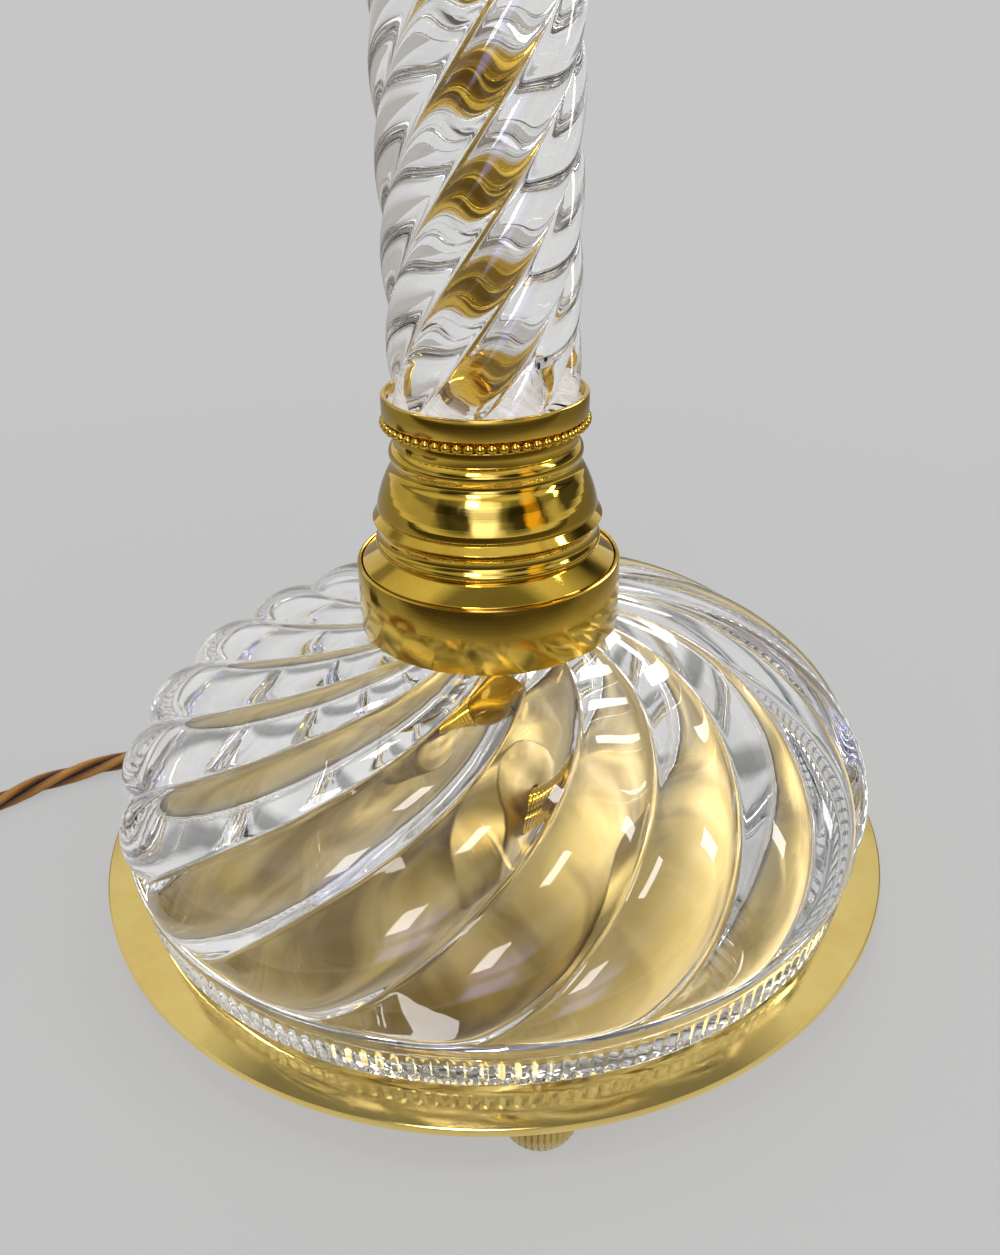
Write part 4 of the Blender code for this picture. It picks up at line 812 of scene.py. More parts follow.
ceiling = ramp(
    sky, sky_parts.outputs["Z"], (0.0, (1.0,)), (0.28, (1.0,)), (0.34, (0.42,)), (0.42, (0.50,)),
    (0.48, (1.10,)), (0.80, (1.10,)), (0.87, (0.30,)))
mirrored_walls = add_node(sky, "ShaderNodeMix", {
    0: 1.0, 7: (BRIGHTEST,) * 3 + (1.0,),
    6: ramp(sky, place_round.outputs[0], *[
        (a / 360 + 0.5, tuple(part / BRIGHTEST for part in tone)) for a, tone in MIRRORED_ROOM])},
    data_type="RGBA", blend_type="MULTIPLY")
overhead = add_node(sky, "ShaderNodeMapRange", {
    "Value": sky_parts.outputs["Z"], "From Min": 0.45, "From Max": 0.75})
mirrored_walls = add_node(sky, "ShaderNodeMix", {
    0: overhead.outputs[0], 6: mirrored_walls.outputs[2], 7: (0.66, 0.66, 0.66, 1.0)},
    data_type="RGBA")
sky_path = add_node(sky, "ShaderNodeLightPath")
walls = add_node(sky, "ShaderNodeMix", {
    0: metal_ray(sky, sky_path), 6: walls, 7: mirrored_walls.outputs[2]},
    data_type="RGBA").outputs[2]
room = add_node(sky, "ShaderNodeMix", {
    0: 1.0, 6: walls, 7: ceiling}, data_type="RGBA", blend_type="MULTIPLY")
height = add_node(sky, "ShaderNodeMapRange", {
    "Value": sky_parts.outputs["Z"], "From Min": 0.02, "From Max": 0.10})
seen_room = add_node(sky, "ShaderNodeMix", {
    0: height.outputs[0], 6: (PALE_TABLE,) * 3 + (1.0,), 7: room.outputs[2]}, data_type="RGBA")
mirrored_ray = add_node(sky, "ShaderNodeMath", {
    0: sky_path.outputs["Is Glossy Ray"], 1: sky_path.outputs["Is Transmission Ray"]},
    operation="MAXIMUM")
tone = add_node(sky, "ShaderNodeMix", {
    0: mirrored_ray.outputs[0], 6: (GROUND_GREY,) * 3 + (1.0,), 7: seen_room.outputs[2]},
    data_type="RGBA")
background = sky.nodes["Background"]
sky.links.new(tone.outputs[2], background.inputs["Color"])
background.inputs["Strength"].default_value = 1.0


# %% Lamps
def softbox(name, place, target, width, height_, power, warmth=(1.0, 0.98, 0.95)):
    """Rectangular lamp at a place, turned to a target."""
    data = bpy.data.lights.new(name, "AREA")
    data.shape = "RECTANGLE"
    data.size, data.size_y = width, height_
    data.energy = power
    data.color = warmth
    lamp = bpy.data.objects.new(name, data)
    lamp.location = place
    lamp.rotation_mode = "QUATERNION"
    lamp.rotation_quaternion = (Vector(target) - Vector(place)).to_track_quat("-Z", "Y")
    bpy.context.scene.collection.objects.link(lamp)


softbox("window_left", (-0.28, -0.90, 0.82), (0, 0, 0.12), 0.26, 0.36, 3.2)
softbox("window_right", (0.90, -0.10, 0.65), (0, 0, 0.14), 0.12, 0.42, 2.0)
softbox("window_back", (0.25, 0.95, 0.75), (0, 0, 0.14), 0.45, 0.22, 2.4)
softbox("window_top", (-0.10, -0.15, 1.15), (0, 0, 0.10), 0.20, 0.20, 1.6)
bpy.context.scene.view_settings.view_transform = "Standard"

# %% [markdown]
# ## Plate and feet
# The plate is spun from sheet: a flat disc with a small rounded edge and a raised middle that hides the
# nut. Three bun feet stand under it. Their knurled sides are flutes: the turned foot is pulled in and
# out by a wave that goes round it thirty-six times.

# %% Plate
plate_low, plate_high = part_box("base_plate")
PLATE_THICKNESS = 0.0022
plate_top = plate_low.z + PLATE_THICKNESS
BOSS_RADIUS, BOSS_SLOPE, BOSS_RISE = 0.0160, 0.0050, plate_high.z - plate_top
TUBE_HOLE = 0.0053
plate_outline = [
    (TUBE_HOLE, plate_high.z), (BOSS_RADIUS, plate_high.z),
    (BOSS_RADIUS + BOSS_SLOPE, plate_top), (PLATE_RADIUS, plate_top), (PLATE_RADIUS, plate_low.z),
    (BOSS_RADIUS + BOSS_SLOPE - PLATE_THICKNESS, plate_low.z),
    (BOSS_RADIUS - PLATE_THICKNESS, plate_low.z + BOSS_RISE),
    (TUBE_HOLE, plate_low.z + BOSS_RISE)]
finish_piece("plate_disc", turned(plate_outline, 288, 0.0006), plate_brass, ("base_plate",))

# %% Feet and their screws
FOOT_CIRCLE = 0.0900
FOOT_FLUTES = 36
FOOT_RADIUS, FOOT_WAIST = 0.0084, 0.0060
FLUTE_DEPTH = 0.00060
foot_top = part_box("foot_1")[1].z
foot_brass = []
for number in (1, 2, 3):
    azimuth = math.radians(-85) + math.tau * (number - 1) / 3
    centre = on_circle(FOOT_CIRCLE, azimuth)
    look = brass_material(
        f"foot_brass_{number}", (0.62, 0.46, 0.15), (0.38, 0.27, 0.07), 0.09, 0.5, centre.xy)
    outline = [
        (0.0014, foot_top), (FOOT_WAIST, foot_top), (FOOT_WAIST + 0.0012, foot_top - 0.0008),
        (FOOT_RADIUS - 0.0003, foot_top - 0.0017), (FOOT_RADIUS, foot_top - 0.0023),
        (FOOT_RADIUS, 0.0036), (FOOT_RADIUS - 0.0004, 0.0028), (FOOT_RADIUS - 0.0010, 0.0014),
        (FOOT_WAIST + 0.0004, 0.0003), (FOOT_WAIST - 0.0004, 0.0), (0.0, 0.0)]
    bm = turned(outline, FOOT_FLUTES * 4, closed=False)
    for vert in bm.verts:
        out = vert.co.xy.length
        if out > FOOT_RADIUS - 0.0008:
            wave = 0.5 - 0.5 * math.cos(FOOT_FLUTES * math.atan2(vert.co.y, vert.co.x))
            vert.co.xy *= 1 - FLUTE_DEPTH * wave / out
    bmesh.ops.translate(bm, verts=bm.verts, vec=centre)
    bmesh.ops.holes_fill(bm, edges=[e for e in bm.edges if e.is_boundary])
    finish_piece(f"bun_foot_{number}", bm, look, (f"foot_{number}",))
    head_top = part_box(f"foot_screw_{number}")[1].z
    screw = turned([
        (0.0, head_top), (0.0006, head_top - 0.00006), (0.0012, head_top - 0.00025),
        (0.0017, plate_top + 0.0001), (0.0012, plate_top - 0.0006),
        (0.0012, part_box(f"foot_screw_{number}")[0].z), (0.0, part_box(f"foot_screw_{number}")[0].z)],
        40, closed=False, centre=centre.xy)
    finish_piece(f"foot_screw_dome_{number}", screw, aged_brass, (f"foot_screw_{number}",))

# %% [markdown]
# ## Glass base
# The base was pressed in a mould: a low dome with eighteen ribs that swirl down its side, a plain
# round band, a row of fine upright notches, and a flat foot. It starts as one turned outline.
# Each vertex then sinks into the crease nearest to it, and each ring is turned about the axis by
# a little more than the ring above, which draws the ribs into a swirl. The inside is a smooth
# hollow, slightly uneven, so that the brass seen through it ripples.

# %% Glass base sizes
glass_low, glass_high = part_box("glass_base")
DOME_RADIUS, DOME_RISE, DOME_SPRING = 0.0944, 0.0435, 0.0170
NECK_RADIUS, NECK_TOP = 0.0288, glass_high.z
GLASS_BOTTOM = plate_top + 0.0012
DOME_CENTRE = GLASS_BOTTOM + DOME_SPRING
RIBS = 18
RIB_DEPTH, RIB_DEPTH_AT_NECK = 0.0030, 0.0009
RIB_SWIRL, RIB_PHASE = math.radians(650), math.radians(26)
RIB_STEPS = 50
NOTCHES = RIBS * RIB_STEPS // 5
NOTCH_LOW, NOTCH_HIGH, NOTCH_DEPTH = 0.0012, 0.0090, 0.0005
BAND_HIGH, BAND_SWELL = 0.0130, 0.0011
CAVITY_WAVE = 0.0010
RIB_FILLET = 0.93
CAVITY_RADIUS, CAVITY_RISE = 0.0780, 0.0280
GLASS_BORE = 0.0058
DOME_RINGS, TUCK_RINGS, CAVITY_RINGS = 46, 8, 16


def across_lobe(azimuth, lobes):
    """Place across a lobe, from -1 at one crease to 1 at the next."""
    return azimuth * lobes / math.tau % 1.0 * 2 - 1


def lobe_sink(across, crown, crease, fillet):
    """How far a lobe sinks at a place across it, with a rounded bottom past the fillet."""
    side = min(abs(across), fillet)
    sunk = crown * side ** 2 + crease * side ** 4
    slope = 2 * crown * side + 4 * crease * side ** 3
    rest = abs(across) - side
    return sunk + slope * (rest - rest ** 2 / (2 * (1 - fillet)))


# %% Glass base outline
start = math.acos(NECK_RADIUS / DOME_RADIUS)
rows = [(GLASS_BORE, NECK_TOP, 0.0, 0.0), (NECK_RADIUS - 0.001, NECK_TOP, 0.0, 0.0),
        (NECK_RADIUS, NECK_TOP - 0.001, 0.0, 0.0)]
for i in range(DOME_RINGS + 1):
    share = i / DOME_RINGS
    t = start * (1 - share)
    depth = min(RIB_DEPTH, RIB_DEPTH_AT_NECK + 2 * share * (RIB_DEPTH - RIB_DEPTH_AT_NECK))
    rows.append((DOME_RADIUS * math.cos(t), DOME_CENTRE + DOME_RISE * math.sin(t), depth, 0.0))
tuck_bottom = GLASS_BOTTOM + BAND_HIGH
for i in range(1, TUCK_RINGS + 1):
    t = math.pi / 2 * i / TUCK_RINGS
    rows.append((
        0.0920 + 0.0024 * math.cos(t), DOME_CENTRE + (tuck_bottom - DOME_CENTRE) * math.sin(t),
        RIB_DEPTH * math.cos(t), 0.0))
for i in range(1, 9):
    t = math.pi * i / 9
    rows.append((
        0.0921 + BAND_SWELL * math.sin(t),
        tuck_bottom - (BAND_HIGH - NOTCH_HIGH) * (1 - math.cos(t)) / 2, 0.0, 0.0))
for i in range(9):
    share = i / 8
    rows.append((
        0.0925 - 0.0009 * share, GLASS_BOTTOM + NOTCH_HIGH - (NOTCH_HIGH - NOTCH_LOW) * share, 0.0,
        NOTCH_DEPTH * min(1.0, 8 * share, 8 * (1 - share)) ** 0.6))
rows += [(0.0913, GLASS_BOTTOM + 0.0005, 0.0, 0.0), (0.0908, GLASS_BOTTOM, 0.0, 0.0),
         (CAVITY_RADIUS + 0.0006, GLASS_BOTTOM, 0.0, 0.0)]
cavity_from = len(rows)
for i in range(CAVITY_RINGS + 1):
    t = math.acos(GLASS_BORE / CAVITY_RADIUS) * i / CAVITY_RINGS
    rows.append((
        CAVITY_RADIUS * math.cos(t),
        GLASS_BOTTOM + 0.0006 + (CAVITY_RISE - 0.0006) * math.sin(t), 0.0, 0.0))
print("glass base rings", len(rows), "steps in a rib", RIB_STEPS, "notches", NOTCHES)

# %% Glass base mesh
swirls, swirl = [], RIB_PHASE
for i, row in enumerate(rows):
    swirls.append(swirl)
    if 3 <= i < 3 + DOME_RINGS + TUCK_RINGS:
        swirl -= RIB_SWIRL * math.dist(row[:2], rows[i + 1][:2])
bm = bmesh.new()
ring_number = bm.verts.layers.int.new("ring")
verts = [bm.verts.new((row[0], 0.0, row[1])) for row in rows]
for i, vert in enumerate(verts):
    vert[ring_number] = i
for first_vert, second_vert in zip(verts, verts[1:] + verts[:1]):
    bm.edges.new((first_vert, second_vert))
bmesh.ops.spin(
    bm, geom=bm.verts[:] + bm.edges[:], cent=(0, 0, 0), axis=(0, 0, 1), angle=math.tau / RIBS,
    steps=RIB_STEPS)
for vert in bm.verts:
    number = vert[ring_number]
    _, _, depth, notch = rows[number]
    azimuth = math.atan2(vert.co.y, vert.co.x)
    if depth:
        outward = Vector((
            vert.co.x / DOME_RADIUS ** 2, vert.co.y / DOME_RADIUS ** 2,
            (vert.co.z - DOME_CENTRE) / DOME_RISE ** 2)).normalized()
        vert.co -= outward * depth * lobe_sink(across_lobe(azimuth, RIBS), 0.8, 0.25, RIB_FILLET)
    if notch:
        vert.co.xy *= 1 - notch * (0.5 - 0.5 * math.cos(NOTCHES * azimuth)) / vert.co.xy.length
    vert.co.rotate(Matrix.Rotation(swirls[number], 3, "Z"))
rib = bm.verts[:] + bm.edges[:] + bm.faces[:]
for i in range(1, RIBS):
    copied = bmesh.ops.duplicate(bm, geom=rib)["geom"]
    bmesh.ops.rotate(
        bm, verts=[g for g in copied if isinstance(g, bmesh.types.BMVert)],
        matrix=Matrix.Rotation(math.tau * i / RIBS, 3, "Z"))
for vert in bm.verts:
    if vert[ring_number] >= cavity_from:
        vert.co *= 1 + CAVITY_WAVE * noise.noise(vert.co * 60.0)
finish_piece("ribbed_glass_base", bm, base_glass, ("glass_base",), keep_edges=28)

# %% [markdown]
# ## Drum, collar, cups and beads
# Between the two glasses sit spun brass parts: a drum with a small raised lip, a collar whose
# mouldings spread downward, a plain cup that holds the foot of the column, and a ring of beads
# soldered under the cup. The collar's mouldings are a table of how far each one drops, spreads
# and bulges, measured from the photograph. One bead is a small sphere, and spin with duplicates
# carries copies of it round the ring.

# %% Drum
drum_low, drum_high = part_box("drum_cap")
DRUM_RADIUS = 0.0312
DRUM_LIP, DRUM_ROOF, DRUM_WALL = 0.0012, 0.0015, 0.0012
collar_low, collar_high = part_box("collar")
flange = (collar_high.x - collar_low.x) / 2
roof = drum_high.z - DRUM_LIP
finish_piece("drum_shell", turned([
    (DRUM_RADIUS - 0.0001, drum_high.z), (DRUM_RADIUS, drum_low.z + 0.008),
    (DRUM_RADIUS, drum_low.z), (DRUM_RADIUS - DRUM_WALL, drum_low.z),
    (DRUM_RADIUS - DRUM_WALL, roof - DRUM_ROOF), (TUBE_HOLE, roof - DRUM_ROOF),
    (TUBE_HOLE, roof), (flange + CLEARANCE, roof), (flange + CLEARANCE, drum_high.z)],
    224, 0.00035), turned_brass, ("drum_cap",))

# %% Collar
COLLAR_RADIUS = 0.0212
COLLAR_MOULDINGS = (
    (0.0016, 0.0000, 0.0000), (0.0018, -0.0003, 0.0000), (0.0002, 0.0003, 0.0000),
    (0.0030, 0.0008, 0.0005), (0.0008, -0.0004, 0.0000), (0.0026, 0.0010, -0.0003),
    (0.0086, 0.0030, 0.0004), (0.0008, -0.0006, 0.0000), (0.0016, 0.0018, 0.0000),
    (0.0014, -0.0011, 0.0000), (0.0029, 0.0001, -0.0003), (0.0032, -0.0006, 0.0009),
    (0.0031, 0.0046, 0.0000))
COLLAR_BORE = 0.0175
MOULDING_POINTS = 6
radius, height = COLLAR_RADIUS, collar_high.z
outline = [(radius, height)]
for drop, flare, bulge in COLLAR_MOULDINGS:
    if bulge:
        for i in range(1, MOULDING_POINTS):
            t = i / MOULDING_POINTS
            outline.append((radius + flare * t + 4 * bulge * t * (1 - t), height - drop * t))
    radius, height = radius + flare, height - drop
    outline.append((radius, height))
outline += [
    (radius, collar_low.z), (COLLAR_BORE, collar_low.z), (COLLAR_BORE, collar_high.z - 0.0015),
    (TUBE_HOLE, collar_high.z - 0.0015), (TUBE_HOLE, collar_high.z)]
finish_piece(
    "moulded_collar", turned(outline, 208, 0.00022), polished_brass, ("collar",), keep_edges=50)

# %% Cups, bead rings and plaster
column_low, column_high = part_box("glass_column")
column_middle = (column_low.z + column_high.z) / 2
CUP_RADIUS, CUP_WALL, CUP_FLOOR = 0.0232, 0.0011, 0.0010
SPIGOT_RADIUS = 0.0212
cup_low, cup_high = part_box("lower_cup")
cup_step = cup_high.z - 0.0049
BEADS, BEAD_RADIUS = 58, 0.00115


def mirrored(outline):
    """Outline turned upside down about the middle of the column."""
    return [(radius, 2 * column_middle - height) for radius, height in reversed(outline)]


cup = [
    (CUP_RADIUS, cup_high.z), (CUP_RADIUS, cup_step), (SPIGOT_RADIUS, cup_step),
    (SPIGOT_RADIUS, cup_low.z), (TUBE_HOLE, cup_low.z), (TUBE_HOLE, cup_step + CUP_FLOOR),
    (CUP_RADIUS - CUP_WALL, cup_step + CUP_FLOOR), (CUP_RADIUS - CUP_WALL, cup_high.z)]
bead_level = cup_step - CLEARANCE - BEAD_RADIUS
bead_circle = SPIGOT_RADIUS + CLEARANCE + BEAD_RADIUS
plaster_low = cup_step + CUP_FLOOR + CLEARANCE
plaster_top = cup_high.z - 0.0021
PLASTER_BORE = 0.0068
plaster_outline = [
    (PLASTER_BORE, plaster_top), (PLASTER_BORE, plaster_low),
    (CUP_RADIUS - CUP_WALL - 0.0002, plaster_low),
    (CUP_RADIUS - CUP_WALL - 0.0002, plaster_top)] + [
    (CUP_RADIUS - CUP_WALL - 0.0002 - 0.0009 * i, plaster_top) for i in range(1, 6)]
for end, shape, where, bed in (
        ("lower", cup, bead_level, plaster_outline),
        ("upper", mirrored(cup), 2 * column_middle - bead_level, mirrored(plaster_outline))):
    finish_piece(f"{end}_brass_cup", turned(shape, 208, 0.00025), turned_brass, (f"{end}_cup",))
    beads = turned([
        (bead_circle + 0.0003, where + 0.0004), (bead_circle + 0.0003, where - 0.0004),
        (bead_circle - 0.0010, where - 0.0004), (bead_circle - 0.0010, where + 0.0004)], 116)
    bead = bmesh.ops.create_uvsphere(
        beads, u_segments=12, v_segments=8, radius=BEAD_RADIUS,
        matrix=Matrix.Translation((bead_circle, 0, where)))["verts"]
    bmesh.ops.spin(
        beads, geom=bead + list({f for v in bead for f in v.link_faces}), cent=(0, 0, 0),
        axis=(0, 0, 1), angle=math.tau * (BEADS - 1) / BEADS, steps=BEADS - 1,
        use_duplicate=True)
    finish_piece(f"{end}_beads", beads, polished_brass, (f"{end}_bead_ring",), keep_edges=60)
    lumps = turned(bed, 220)
    for vert in lumps.verts:
        if abs(vert.co.z - (plaster_top if end == "lower" else 2 * column_middle - plaster_top)) < 1e-5:
            vert.co.z += 0.0007 * noise.noise(vert.co * 420.0) + 0.0004 * noise.noise(vert.co * 1300)
    finish_piece(f"{end}_plaster_bed", lumps, plaster, (f"{end}_plaster",), keep_edges=70)

# %% [markdown]
# ## Glass column
# The column was a hot gather of glass with eight lobes, twisted as it was drawn out. A circle of
# vertices is pulled into eight rounded lobes with sharp creases between them, and extruded upward
# in small steps with a turn at each one. A second circle makes the bore for the brass tube, and
# bridges close the two ends.

# %% Column
COLUMN_LOBES = 8
COLUMN_CREST, COLUMN_BORE = 0.0212, 0.0068
LOBE_CROWN, LOBE_CREASE, LOBE_FILLET = 0.0020, 0.0013, 0.88
COLUMN_PITCH = 0.1427
COLUMN_CREASE_HEIGHT = 0.1614
LOBE_STEPS = 30
COLUMN_RINGS = 180
column_length = column_high.z - column_low.z
bm = bmesh.new()
bmesh.ops.create_circle(bm, segments=COLUMN_LOBES * LOBE_STEPS, radius=COLUMN_CREST)
for vert in bm.verts:
    across = across_lobe(math.atan2(vert.co.y, vert.co.x), COLUMN_LOBES)
    vert.co *= 1 - lobe_sink(across, LOBE_CROWN, LOBE_CREASE, LOBE_FILLET) / COLUMN_CREST
first_turn = math.tau * (column_low.z - COLUMN_CREASE_HEIGHT) / COLUMN_PITCH - math.pi / 2
bmesh.ops.rotate(bm, verts=bm.verts, matrix=Matrix.Rotation(first_turn, 3, "Z"))
bmesh.ops.translate(bm, verts=bm.verts, vec=(0, 0, column_low.z))
bmesh.ops.spin(
    bm, geom=bm.verts[:] + bm.edges[:], cent=(0, 0, 0), axis=(0, 0, 1),
    dvec=(0, 0, column_length / COLUMN_RINGS), angle=math.tau * column_length / COLUMN_PITCH,
    steps=COLUMN_RINGS)
lobed_ends = [e for e in bm.edges if e.is_boundary]
for height in (column_low.z, column_high.z):
    made = bmesh.ops.create_circle(
        bm, segments=96, radius=COLUMN_BORE, matrix=Matrix.Translation((0, 0, height)))["verts"]
    bore_edges = list({e for v in made for e in v.link_edges})
    end_edges = [e for e in lobed_ends if abs(e.verts[0].co.z - height) < 1e-5]
    bmesh.ops.bridge_loops(bm, edges=bore_edges + end_edges)
bore_ends = [e for e in bm.edges if e.is_boundary]
bmesh.ops.bridge_loops(bm, edges=bore_ends)
finish_piece("twisted_glass_column", bm, column_glass, ("glass_column",), keep_edges=38)

# %% [markdown]
# The brass tube runs the whole height inside the column. It is a drawn tube, smooth and bright,
# and only its ends are threaded for the nuts. A thread is a fine saw of rings on the outline,
# which at this size looks the same as a true helix.

# %% Threaded tube
TUBE_RADIUS, TUBE_BORE = 0.0050, 0.0036
THREAD_PITCH, THREAD_DEPTH = 0.0010, 0.00035
THREAD_LENGTH = 0.018
outline = [(TUBE_BORE, tube_high.z), (TUBE_BORE, tube_low.z)]
for bottom in (tube_low.z, tube_high.z - THREAD_LENGTH):
    outline.append((TUBE_RADIUS - THREAD_DEPTH, bottom))
    for i in range(round(THREAD_LENGTH / THREAD_PITCH)):
        outline.append((TUBE_RADIUS, bottom + (i + 0.5) * THREAD_PITCH))
        outline.append((TUBE_RADIUS - THREAD_DEPTH, bottom + (i + 1) * THREAD_PITCH))
    if bottom == tube_low.z:
        outline.append((TUBE_RADIUS, bottom + THREAD_LENGTH + THREAD_PITCH))
        outline.append((TUBE_RADIUS, tube_high.z - THREAD_LENGTH - THREAD_PITCH))
finish_piece(
    "brass_tube", turned(outline, 96), polished_brass, ("threaded_tube",), keep_edges=50)

# %% [markdown]
# ## Cap, spacer and lampholder
# The top of the lamp is outside the photograph, so it follows what such lamps have: a domed cap,
# a small spacer, and a brass bayonet lampholder with a press bar, a shade ring and two sprung
# contacts. They are turned like the rest. Holes for the bar and the two hooked slots are cut
# with a Boolean modifier, the plain way to take one solid from another.

# %% Cap and spacer
cap_low, cap_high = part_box("column_cap")
CAP = (
    (0.0090, 0.0150), (0.0090, 0.0117), (0.0096, 0.0111), (0.0121, 0.0101), (0.0146, 0.0085),
    (0.0163, 0.0066), (0.0174, 0.0045), (0.0186, 0.0039), (0.0212, 0.0018), (0.0212, 0.0),
    (0.0197, 0.0), (0.0159, 0.0033), (0.00825, 0.0093), (TUBE_HOLE, 0.0093), (TUBE_HOLE, 0.0150))
finish_piece("column_top_cap", turned(
    [(r, cap_low.z + z) for r, z in CAP], 192, 0.00025), polished_brass, ("column_cap",),
    keep_edges=45)
spacer_low, spacer_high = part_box("neck_spacer")
finish_piece("turned_spacer", turned([
    (0.0076, spacer_high.z), (0.0068, spacer_high.z - 0.0018), (0.0064, spacer_high.z - 0.0035),
    (0.0068, spacer_low.z + 0.0018), (0.0076, spacer_low.z), (TUBE_HOLE, spacer_low.z),
    (TUBE_HOLE, spacer_high.z)], 128, 0.0002), polished_brass, ("neck_spacer",), keep_edges=45)


# %% Boolean cut
def cut_away(piece, cutters):
    """Take solids from a piece and keep the result as its mesh."""
    for bm in cutters:
        bmesh.ops.recalc_face_normals(bm, faces=bm.faces)
        mesh = bpy.data.meshes.new("cutter")
        bm.to_mesh(mesh)
        bm.free()
        cutter = bpy.data.objects.new("cutter", mesh)
        bpy.context.scene.collection.objects.link(cutter)
        modifier = piece.modifiers.new("cut", "BOOLEAN")
        modifier.operation, modifier.solver, modifier.object = "DIFFERENCE", "EXACT", cutter
        bpy.context.view_layer.update()
        cut = bpy.data.meshes.new_from_object(
            piece.evaluated_get(bpy.context.evaluated_depsgraph_get()))
        piece.modifiers.clear()
        piece.data = cut
        bpy.data.objects.remove(cutter)
    piece.data.shade_smooth()
    piece.data.set_sharp_from_angle(angle=math.radians(34))


# %% Lampholder
holder_low, holder_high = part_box("lampholder_cap")
bar_low, bar_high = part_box("switch_bar")
bar_centre = (bar_low + bar_high) / 2
bar_radius = (bar_high.z - bar_low.z) / 2
HOLDER = (
    (0.0160, 0.0157), (0.0160, 0.0080), (0.0155, 0.0056), (0.0146, 0.0037), (0.0136, 0.0022),
    (0.0113, 0.0009), (0.0088, 0.0), (TUBE_HOLE, 0.0), (TUBE_HOLE, 0.0012), (0.0088, 0.0012),
    (0.0124, 0.0034), (0.0148, 0.0086), (0.0148, 0.0157))
holder = finish_piece("lampholder_shell", turned(
    [(r, holder_low.z + z) for r, z in HOLDER], 128), turned_brass, ("lampholder_cap",))
hole = bmesh.new()
bmesh.ops.create_cone(
    hole, cap_ends=True, segments=48, radius1=bar_radius + CLEARANCE, radius2=bar_radius + CLEARANCE,
    depth=0.08, matrix=Matrix.Translation(bar_centre) @ Matrix.Rotation(math.pi / 2, 4, "Y"))
cut_away(holder, [hole])

barrel_low, barrel_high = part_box("lampholder_barrel")
BARREL = (
    (0.0126, 0.0350), (0.0126, 0.0110), (0.0156, 0.0095), (0.0156, 0.0), (0.0090, 0.0),
    (0.0090, 0.0009), (0.0112, 0.0009), (0.0112, 0.0350))
barrel = finish_piece("lampholder_sleeve", turned(
    [(r, barrel_low.z + z) for r, z in BARREL], 128, 0.0002), turned_brass,
    ("lampholder_barrel",))
SLOT_WIDTH, SLOT_DEPTH, SLOT_TURN = 0.0026, 0.0085, 0.0045
slots = []
for side in (1, -1):
    for size, place in (
            ((SLOT_WIDTH, 0.010, SLOT_DEPTH + 0.0006), (0, side * 0.0126, -SLOT_DEPTH / 2)),
            ((SLOT_TURN + SLOT_WIDTH / 2, 0.0126, SLOT_WIDTH),
             (side * (SLOT_TURN + SLOT_WIDTH / 2) / 2, side * 0.0126,
              -SLOT_DEPTH + SLOT_WIDTH / 2))):
        slot_cut = bmesh.new()
        bmesh.ops.create_cube(slot_cut, size=1.0, matrix=Matrix.Translation(
            Vector((place[0], place[1], barrel_high.z + 0.0003 + place[2])))
            @ Matrix.Diagonal((*size, 1.0)))
        slots.append(slot_cut)
cut_away(barrel, slots)

# %% Shade ring, press bar and contacts
RING_KNURLS = 72
ring_low, ring_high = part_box("shade_ring")
shade_ring = turned([
    (0.0152, ring_high.z), (0.0152, ring_low.z + 0.0021), (0.0160, ring_low.z + 0.0016),
    (0.0192, ring_low.z + 0.0016), (0.0195, ring_low.z + 0.0013), (0.0195, ring_low.z + 0.0003),
    (0.0192, ring_low.z), (0.0129, ring_low.z), (0.0129, ring_high.z)], RING_KNURLS * 4)
for vert in shade_ring.verts:
    if vert.co.xy.length > 0.0190:
        wave = 0.5 - 0.5 * math.cos(RING_KNURLS * math.atan2(vert.co.y, vert.co.x))
        vert.co.xy *= 1 - 0.0002 * wave / vert.co.xy.length
finish_piece("knurled_shade_ring", shade_ring, turned_brass, ("shade_ring",), body="shade_ring")
bar = turned([
    (0.0, bar_high.x), (bar_radius * 0.55, bar_high.x - 0.0002), (bar_radius * 0.9, bar_high.x - 0.0009),
    (bar_radius, bar_high.x - 0.0018), (bar_radius, bar_low.x + 0.0018),
    (bar_radius * 0.9, bar_low.x + 0.0009), (bar_radius * 0.55, bar_low.x + 0.0002),
    (0.0, bar_low.x)], 40, closed=False)
bmesh.ops.rotate(bar, verts=bar.verts, matrix=Matrix.Rotation(math.pi / 2, 3, "Y"))
bmesh.ops.translate(bar, verts=bar.verts, vec=(0, bar_centre.y, bar_centre.z))
finish_piece("press_bar", bar, phenolic, ("switch_bar",), body="switch_bar")
insulator_low, insulator_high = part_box("insulator")
insulator = finish_piece("contact_block", turned([
    (0.0, insulator_high.z), (0.0108, insulator_high.z), (0.0108, insulator_low.z),
    (0.0, insulator_low.z)], 96, closed=False), phenolic, ("insulator",))
SPRING_LENGTH, SPRING_RADIUS, SPRING_WIRE, SPRING_TURNS = 0.0042, 0.0013, 0.00022, 5
bores = []
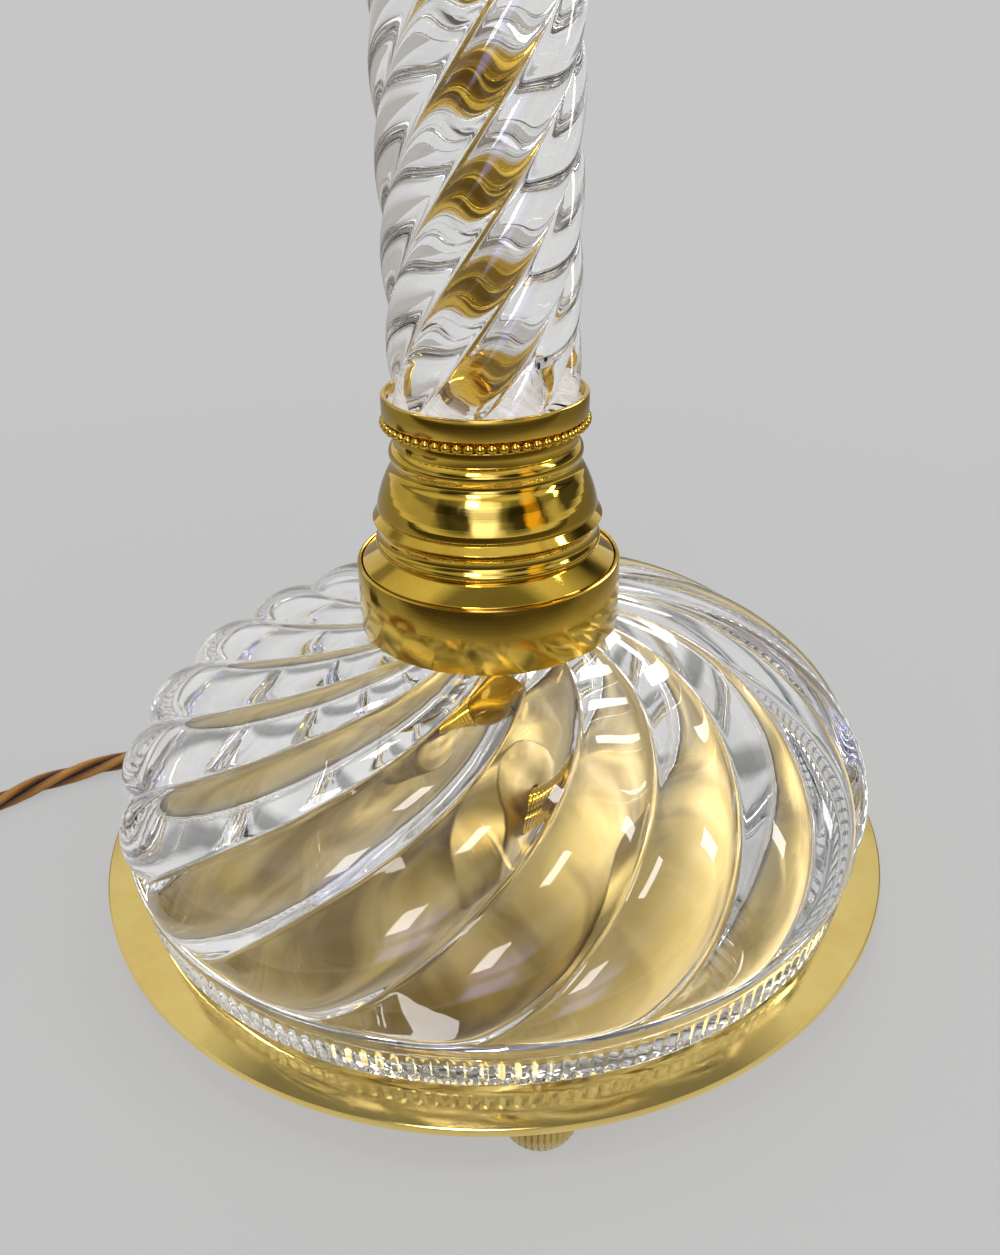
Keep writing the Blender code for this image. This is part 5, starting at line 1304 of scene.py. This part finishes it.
for number in (1, 2):
    low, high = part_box(f"plunger_{number}")
    centre = (low + high) / 2
    plunger_radius = (high.x - low.x) / 2
    finish_piece(f"contact_plunger_{number}", turned([
        (0.0, high.z), (0.0007, high.z - 0.00010), (0.0013, high.z - 0.00045),
        (0.0017, high.z - 0.0011), (plunger_radius, high.z - 0.0018), (plunger_radius, low.z),
        (0.0, low.z)], 40, closed=False, centre=centre.xy), turned_brass,
        (f"plunger_{number}",), body=f"plunger_{number}")
    spring_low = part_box(f"plunger_spring_{number}")[0].z
    spring_path = [
        Vector((*centre.xy, 0)) + on_circle(
            SPRING_RADIUS, math.tau * i / 20,
            spring_low + SPRING_WIRE
            + (SPRING_LENGTH - 2 * SPRING_WIRE) * i / (20 * SPRING_TURNS))
        for i in range(20 * SPRING_TURNS + 1)]
    spring = finish_piece(
        f"contact_spring_{number}", swept(round_section(SPRING_WIRE, 8), spring_path), steel,
        (f"plunger_spring_{number}",), keep_edges=60)
    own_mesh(spring)
    bore = bmesh.new()
    bore_low = spring_low - CLEARANCE
    bmesh.ops.create_cone(
        bore, cap_ends=True, segments=40, radius1=plunger_radius + CLEARANCE,
        radius2=plunger_radius + CLEARANCE, depth=0.02,
        matrix=Matrix.Translation((*centre.xy, bore_low + 0.01)))
    bores.append(bore)
cut_away(insulator, bores)

# %% [markdown]
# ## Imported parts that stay
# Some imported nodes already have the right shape: the nuts, the washer, the clip, the gasket and
# the small parts inside the lampholder. They only get the materials made above.

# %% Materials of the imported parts
KEPT = {
    "lower_washer": steel, "lower_nut": turned_brass, "upper_nut": turned_brass,
    "cord_clip": turned_brass, "clip_screw": steel, "glass_gasket": fibre,
    "drum_plaster": plaster, "terminal_1": aged_brass, "terminal_2": aged_brass,
    "lead_1": phenolic, "lead_2": phenolic}
for node, look in KEPT.items():
    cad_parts[node].data.materials.clear()
    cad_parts[node].data.materials.append(look)
shown = [name for name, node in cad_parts.items() if not node.hide_render]
print("packed nodes shown", sorted(shown))

# %% [markdown]
# ## Finish
# The last cell measures the bounds of the dressed scene.

# %% Sizes and finish
low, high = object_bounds()
